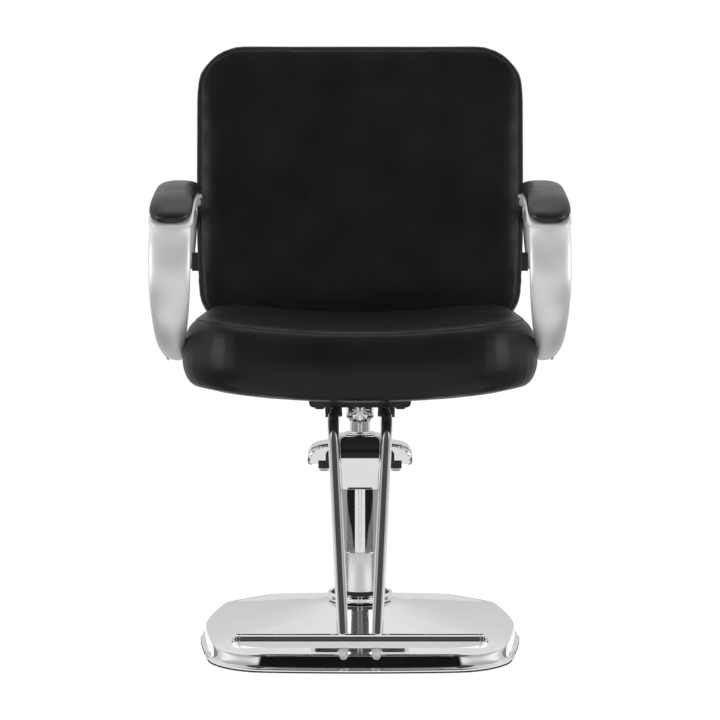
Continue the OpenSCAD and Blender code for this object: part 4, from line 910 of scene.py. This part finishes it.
def make_web():
    """Plate between the tubes: upright below, bent back above, with a slot near its lower edge."""
    low, bend, top, corner, beside_tube, thick = 262.8, 306.5, 333, 8, 8.51, 3
    middle_y = BEND_END[0] - (BEND_END[1] - 287.5) * math.tan(LEAN)
    heights = [0, 0.5, 0.9, 2.7, 4, 10, 20, 30, 38, 43.7, 50, 56, 60, 62, 63.5, 65, 66.4, 67.5, 68.5, 69.4,
               70.2]
    bm = bmesh.new()
    bmesh.ops.create_grid(bm, x_segments=36, y_segments=len(heights) - 1, size=0.5)
    rows = sorted({round(v.co.y, 5) for v in bm.verts})
    for v in bm.verts:
        z = low + heights[rows.index(round(v.co.y, 5))]
        half_width = TUBE_X - (TUBE_Z - z) * math.tan(math.radians(TUBE_TOE)) - beside_tube
        if z > top - corner:
            half_width += math.sqrt(max(0, corner ** 2 - (z - top + corner) ** 2)) - corner
        v.co = Vector((v.co.x * 2 * half_width, middle_y + max(0, z - bend), z)) * MM
    slot = [f for f in bm.faces if abs(f.calc_center_median().x) < 17 * MM
            and 1.0 < f.calc_center_median().z / MM - low < 2.6]
    bmesh.ops.delete(bm, geom=slot, context="FACES")
    bmesh.ops.solidify(bm, geom=bm.faces[:], thickness=-thick * MM)
    bmesh.ops.recalc_face_normals(bm, faces=bm.faces)
    depths = [v.co.y / MM for v in bm.verts if v.co.z / MM < bend - 5]
    core = (min(depths) + max(depths)) / 2
    add_piece("footrest_bridge", bm, "seat", "chrome", "footrest_web", ease=0.4 * MM, corner=40)
    # A dark rubber strip fills the slot from behind: a dark sheet that stands in for the shade inside the slot.
    slot_shade_strip = eased_block((0, core, low + 1.8), (35, 1.2, 1.8), 0.2, 2)
    add_piece("footrest_bridge_slot_shade", slot_shade_strip, "seat", "rubber", corner=50)


# Pedal and pump

PEDAL_W, PEDAL_Y, PEDAL_TOP, PEDAL_RISE, PEDAL_T, PEDAL_FLARE = 166, 155, 284.5, 29.5, 8, 1.1


def arch_outline(inset):
    """Saddle section: a thick band over a superellipse arch, thicker and rounded at its ends."""
    half, rise, count = PEDAL_W / 2 - PEDAL_T / 2 - PEDAL_FLARE, PEDAL_RISE - PEDAL_T / 2, 40
    line = []
    for k in range(count + 1):
        t = math.pi * k / count
        line.append(Vector((half * power_sign(math.cos(t), 0.5), rise * abs(math.sin(t)) ** 0.5)))
    line[0].y = line[-1].y = -0.8
    outer, inner = [], []
    for k, p in enumerate(line):
        a, b = line[max(k - 1, 0)], line[min(k + 1, count)]
        n = Vector((b.y - a.y, a.x - b.x)).normalized()
        thick = PEDAL_T / 2 + PEDAL_FLARE * abs(math.cos(math.pi * k / count)) - inset
        outer.append(p + n * thick)
        inner.append(p - n * thick)
    curl = PEDAL_T / 2 + PEDAL_FLARE - inset
    around = [Vector((math.cos(math.pi * k / 6), math.sin(math.pi * k / 6))) * curl for k in range(1, 6)]
    end, start = ([tip - step for step in around] for tip in (line[-1], line[0]))
    base = PEDAL_TOP - PEDAL_RISE
    return [(p.x, base + p.y) for p in outer + end + inner[::-1] + start]


def make_pedal():
    stations = ((-29, 2.2), (-28.6, 1.0), (-27.6, 0.3), (-26, 0), (-14, 0), (0, 0), (14, 0), (26, 0), (27.6, 0.3),
                (28.6, 1.0), (29, 2.2))
    rows = [[(x, PEDAL_Y + y, z) for x, z in arch_outline(inset)] for y, inset in stations]
    posts = []
    for s in (1, -1):
        post = turned(eased([(0, 256.9), (8, 256.9, 0.6), (8, 272), (0, 272)], 0, 3, False), 40, False)
        bmesh.ops.translate(post, verts=post.verts, vec=Vector((s * 57, 156.3, 0)) * MM)
        posts.append(post)
    add_piece("pedal_saddle", fused([skin(rows)] + posts), "pedal", "chrome", "pedal_pad", corner=60, rounds=1)
    eased_copy("pedal_lever", "pedal", "black_steel", 1.2)
    bracket = eased_copy("pedal_bracket", "pedal", "black_steel", 1.0)
    for v in bracket.data.vertices:
        if v.co.z < 0.252:
            v.co.z -= 0.0035
    bolts = eased_copy("pedal_bolts", "pedal", "steel", 0.5)
    for v in bolts.data.vertices:
        if v.co.z < 0.2485:
            v.co.z = 0.2449 + (v.co.z - 0.2482) * 1.4


def make_pump():
    eased_copy("pump_block", "pump_base", "cast_block", 1.6)
    eased_copy("lever_pivot_pin", "pump_base", "steel", 0.5)
    coil, turns, steps, wire = [], 5, 28, 1.6
    low, high, radius, plunger_y = 232.86, 253.6, 8.8, 76
    for i in range(turns * steps + 1):
        t = math.tau * i / steps
        z = low + (high - low) * i / (turns * steps)
        section = [(radius + wire / 2 * math.cos(a), wire / 2 * math.sin(a)) for a in
                   (math.tau * k / 10 for k in range(10))]
        coil.append([(r * math.cos(t), plunger_y + r * math.sin(t), z + up) for r, up in section])
    spring = add_piece("plunger_coil", skin(coil), "pump_base", "steel", "plunger_spring")
    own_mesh(spring)
    pin = [(0, 229), (6, 229, 0.8), (6, 253.7), (10, 253.7, 0.4), (10, 256.7, 0.6), (6, 256.7, 0.4),
           (6, 257.9, 1), (4.6, 261.6, 2), (0, 263.7)]
    plunger = turned(eased(pin, 0, 4, False), 48, False)
    bmesh.ops.translate(plunger, verts=plunger.verts, vec=(0, plunger_y * MM, 0))
    add_piece("plunger_pin", plunger, "plunger", "steel", "pump_plunger", corner=40)


def make_mounts():
    for node, slot, ease in (("support_plate", "black_steel", 1.2), ("support_plate_bolts", "black_steel", 0.5),
                             ("footrest_clips", "black_steel", 0.6), ("arm_back_brackets", "black_steel", 1.5),
                             ("arm_back_bolts", "steel", 0.3), ("arm_seat_bolts", "steel", 0.3),
                             ("back_uprights", "chrome", 0.8), ("back_upright_bolts", "steel", 0.5),
                             ("clamp_screw", "steel", 0.3)):
        eased_copy(node, "seat", slot, ease)
    board = eased_copy("seat_board", "seat", "timber", 1.0)
    for v in board.data.vertices:
        v.co.z += 0.00125 * max(0, abs(v.co.x) / MM - 75) ** 2 * MM


# Studio

CARD_Z, CARD_STEP = 0.002, 4
FOCAL_LENGTH, SENSOR, EYE, LOOK_DOWN = 116.2, 36, (0, -3.5, 0.743), 5.16


def new_sheet(name, bm, paint_name):
    """A sheet of the room with an empty material, and the material's node tree."""
    mesh = bpy.data.meshes.new(name)
    bm.to_mesh(mesh)
    bm.free()
    sheet = bpy.data.objects.new(name, mesh)
    bpy.context.scene.collection.objects.link(sheet)
    paint = bpy.data.materials.new(paint_name)
    paint.use_nodes = True
    paint.node_tree.nodes.clear()
    mesh.materials.append(paint)
    return sheet, paint.node_tree


def stage_card(name, corners, shade):
    """A flat card of one shade that only gloss sees."""
    bm = bmesh.new()
    bmesh.ops.contextual_create(bm, geom=[bm.verts.new(c) for c in corners])
    card, tree = new_sheet(name, bm, name)
    glow = tree.nodes.new("ShaderNodeEmission")
    glow.inputs["Color"].default_value = (shade, shade, shade, 1)
    tree.links.new(glow.outputs[0], tree.nodes.new("ShaderNodeOutputMaterial").inputs["Surface"])
    card.visible_camera = card.visible_diffuse = card.visible_shadow = False


def make_floor():
    """Grey paper for soft light, near white to the eye, to gloss and through glass."""
    bm = bmesh.new()
    bmesh.ops.create_circle(bm, cap_ends=True, segments=96, radius=14)
    floor, tree = new_sheet("studio_floor", bm, "floor_paper")
    path = tree.nodes.new("ShaderNodeLightPath")
    seen = path.outputs["Is Camera Ray"]
    for kind in ("Is Glossy Ray", "Is Transmission Ray"):
        seen = arithmetic(tree, "MAXIMUM", seen, path.outputs[kind])
    matte = tree.nodes.new("ShaderNodeBsdfDiffuse")
    matte.inputs["Color"].default_value = (0.24, 0.24, 0.24, 1)
    glow = tree.nodes.new("ShaderNodeEmission")
    tree.links.new(arithmetic(tree, "MULTIPLY", seen, 0.85), glow.inputs["Strength"])
    both = tree.nodes.new("ShaderNodeAddShader")
    tree.links.new(matte.outputs[0], both.inputs[0])
    tree.links.new(glow.outputs[0], both.inputs[1])
    tree.links.new(both.outputs[0], tree.nodes.new("ShaderNodeOutputMaterial").inputs["Surface"])


def make_surroundings():
    """White behind the object; what metal sees is pale behind, dark in front and bright overhead."""
    world = bpy.data.worlds.new("studio")
    bpy.context.scene.world = world
    world.use_nodes = True
    tree = world.node_tree
    tree.nodes.clear()
    path = tree.nodes.new("ShaderNodeLightPath")
    way = tree.nodes.new("ShaderNodeSeparateXYZ")
    tree.links.new(tree.nodes.new("ShaderNodeTexCoord").outputs["Generated"], way.inputs[0])
    x, y, z = way.outputs
    flat = arithmetic(tree, "SQRT", arithmetic(tree, "ADD", arithmetic(tree, "MULTIPLY", x, x),
                                               arithmetic(tree, "MULTIPLY", y, y)))
    ahead = arithmetic(tree, "DIVIDE", y, arithmetic(tree, "MAXIMUM", flat, 0.001))
    front = shades(tree, z, [(0.0, 0.006), (0.18, 0.01), (0.25, 0.06), (0.9, 0.075), (1.0, 0.02)])
    beside = shades(tree, z, [(0.0, 0.95), (0.12, 0.95), (0.18, 0.46), (0.46, 0.44), (0.56, 0.8), (0.72, 0.8),
                              (1.0, 0.35)])
    behind = shades(tree, z, [(0.0, 0.6), (0.2, 0.66), (0.36, 0.76), (0.6, 0.86), (0.75, 0.75), (1.0, 0.35)])

    def between(share, first, second):
        mixed = tree.nodes.new("ShaderNodeMix")
        mixed.data_type = "RGBA"
        tree.links.new(share, mixed.inputs["Factor"])
        for socket, colour in (("A", first), ("B", second)):
            if isinstance(colour, float):
                mixed.inputs[socket].default_value = (colour, colour, colour, 1)
            else:
                tree.links.new(colour, mixed.inputs[socket])
        return mixed.outputs["Result"]

    edge = spread_value(tree, z, 0.19, 0.31, 0.84, 0.5)
    turn = spread_value(tree, arithmetic(tree, "ADD", ahead, edge), -0.05, 0.03, 1, 0)
    around = between(spread_value(tree, ahead, 0.2, 0.45, 0, 1), beside, behind)
    room = between(turn, around, front)
    clear = arithmetic(tree, "MAXIMUM", path.outputs["Is Camera Ray"], path.outputs["Is Transmission Ray"])
    shown = between(path.outputs["Is Diffuse Ray"], between(clear, room, 1.0), 0.8)
    sky = tree.nodes.new("ShaderNodeBackground")
    tree.links.new(shown, sky.inputs["Color"])
    tree.links.new(sky.outputs[0], tree.nodes.new("ShaderNodeOutputWorld").inputs["Surface"])


def soft_box(name, place, aim, width, height, watts):
    lamp = bpy.data.lights.new(name, "AREA")
    lamp.shape, lamp.size, lamp.size_y, lamp.energy = "RECTANGLE", width, height, watts
    holder = bpy.data.objects.new(name, lamp)
    place = Vector(place)
    turn = (Vector(aim) - place).to_track_quat("-Z", "Y")
    holder.matrix_world = Matrix.Translation(place) @ turn.to_matrix().to_4x4()
    bpy.context.scene.collection.objects.link(holder)
    return holder


def make_studio():
    make_floor()
    make_surroundings()
    soft_box("overhead", (0, 0.25, 2.6), (0, 0.1, 0.5), 1.6, 1.2, 7)
    matte = bpy.data.collections.new("lit_from_the_sides")
    for item in list(bpy.context.scene.objects):
        if item.type == "MESH" and FINISHES["chrome"] not in list(item.data.materials):
            matte.objects.link(item)
    for side in (-1, 1):
        lamp = soft_box("side_%d" % (side > 0), (side * 1.9, -1.15, 1.0), (0, -0.05, 0.55), 0.55, 1.6, 12)
        lamp.light_linking.receiver_collection = matte
    narrowing = [(0.77, 28), (0.87, 31), (0.98, 35), (1.09, 41.6), (1.2, 53), (1.35, 61), (1.5, 67)]
    # Each card's rim is in metres from the column's axis and degrees from straight ahead.
    shapes = [("front", [(0.77, -24), (0.77, 24), (2.6, 24), (2.6, -24)], 0.8),
              ("far_front", [(2.61, -24), (2.61, 24), (3.5, 24), (3.5, -24)], 0.6),
              ("behind", [(0.3, 112), (0.3, 248), (6, 248), (6, 112)], 0.72),
              ("near_front", [(0.3, -24), (0.3, 24), (0.765, 24), (0.765, -24)], 0.68)]
    for side in (-1, 1):
        for name, places, shade in (
                ("dark", [(2.6, 24.2), (0.77, 24.2)] + narrowing + [(2.6, 67)], 0.012),
                ("far", [(3.5, 24.2), (2.61, 24.2), (2.61, 67), (3.5, 67)], 0.25),
                ("grey", narrowing + [(0.77, 67)], 0.17),
                ("beside", [(3.5, 67.2), (0.77, 67.2), (0.77, 111), (3.5, 111)], 0.32),
                ("near_side", [(0.3, 54), (0.765, 54), (0.765, 111), (0.3, 111)], 0.25)):
            end = "_left" if side < 0 else "_right"
            shapes.append((name + end, [(r, side * a) for r, a in places], shade))
    for name, places, shade in shapes:
        rim = []
        for (r, a), (r2, a2) in zip(places, places[1:] + places[:1]):
            steps = max(1, round(abs(a2 - a) / CARD_STEP))
            rim += [(r + (r2 - r) * k / steps, math.radians(a + (a2 - a) * k / steps)) for k in range(steps)]
        stage_card("floor_card_" + name, [(r * math.sin(a), -r * math.cos(a), CARD_Z) for r, a in rim], shade)


def place_camera():
    lens = bpy.data.cameras.new("camera")
    lens.lens, lens.sensor_width = FOCAL_LENGTH, SENSOR
    eye = bpy.data.objects.new("camera", lens)
    eye.matrix_world = Matrix.Translation(EYE) @ Matrix.Rotation(math.radians(90 - LOOK_DOWN), 4, "X")
    bpy.context.scene.collection.objects.link(eye)
    bpy.context.scene.camera = eye


# All of it

bpy.context.scene.view_settings.view_transform = "Standard"
record = frame["record"]
for part in record["subparts"]:
    node = frame["nodes"].get(part["node"])
    if node is not None:
        node.data.materials.clear()
        node.data.materials.append(FINISHES[part["material_slot"]])

make_base()
make_column()
make_seat()
make_back()
for side in (1, -1):
    make_arm(side)
make_footrest()
make_web()
make_pedal()
make_pump()
make_mounts()
make_studio()
place_camera()
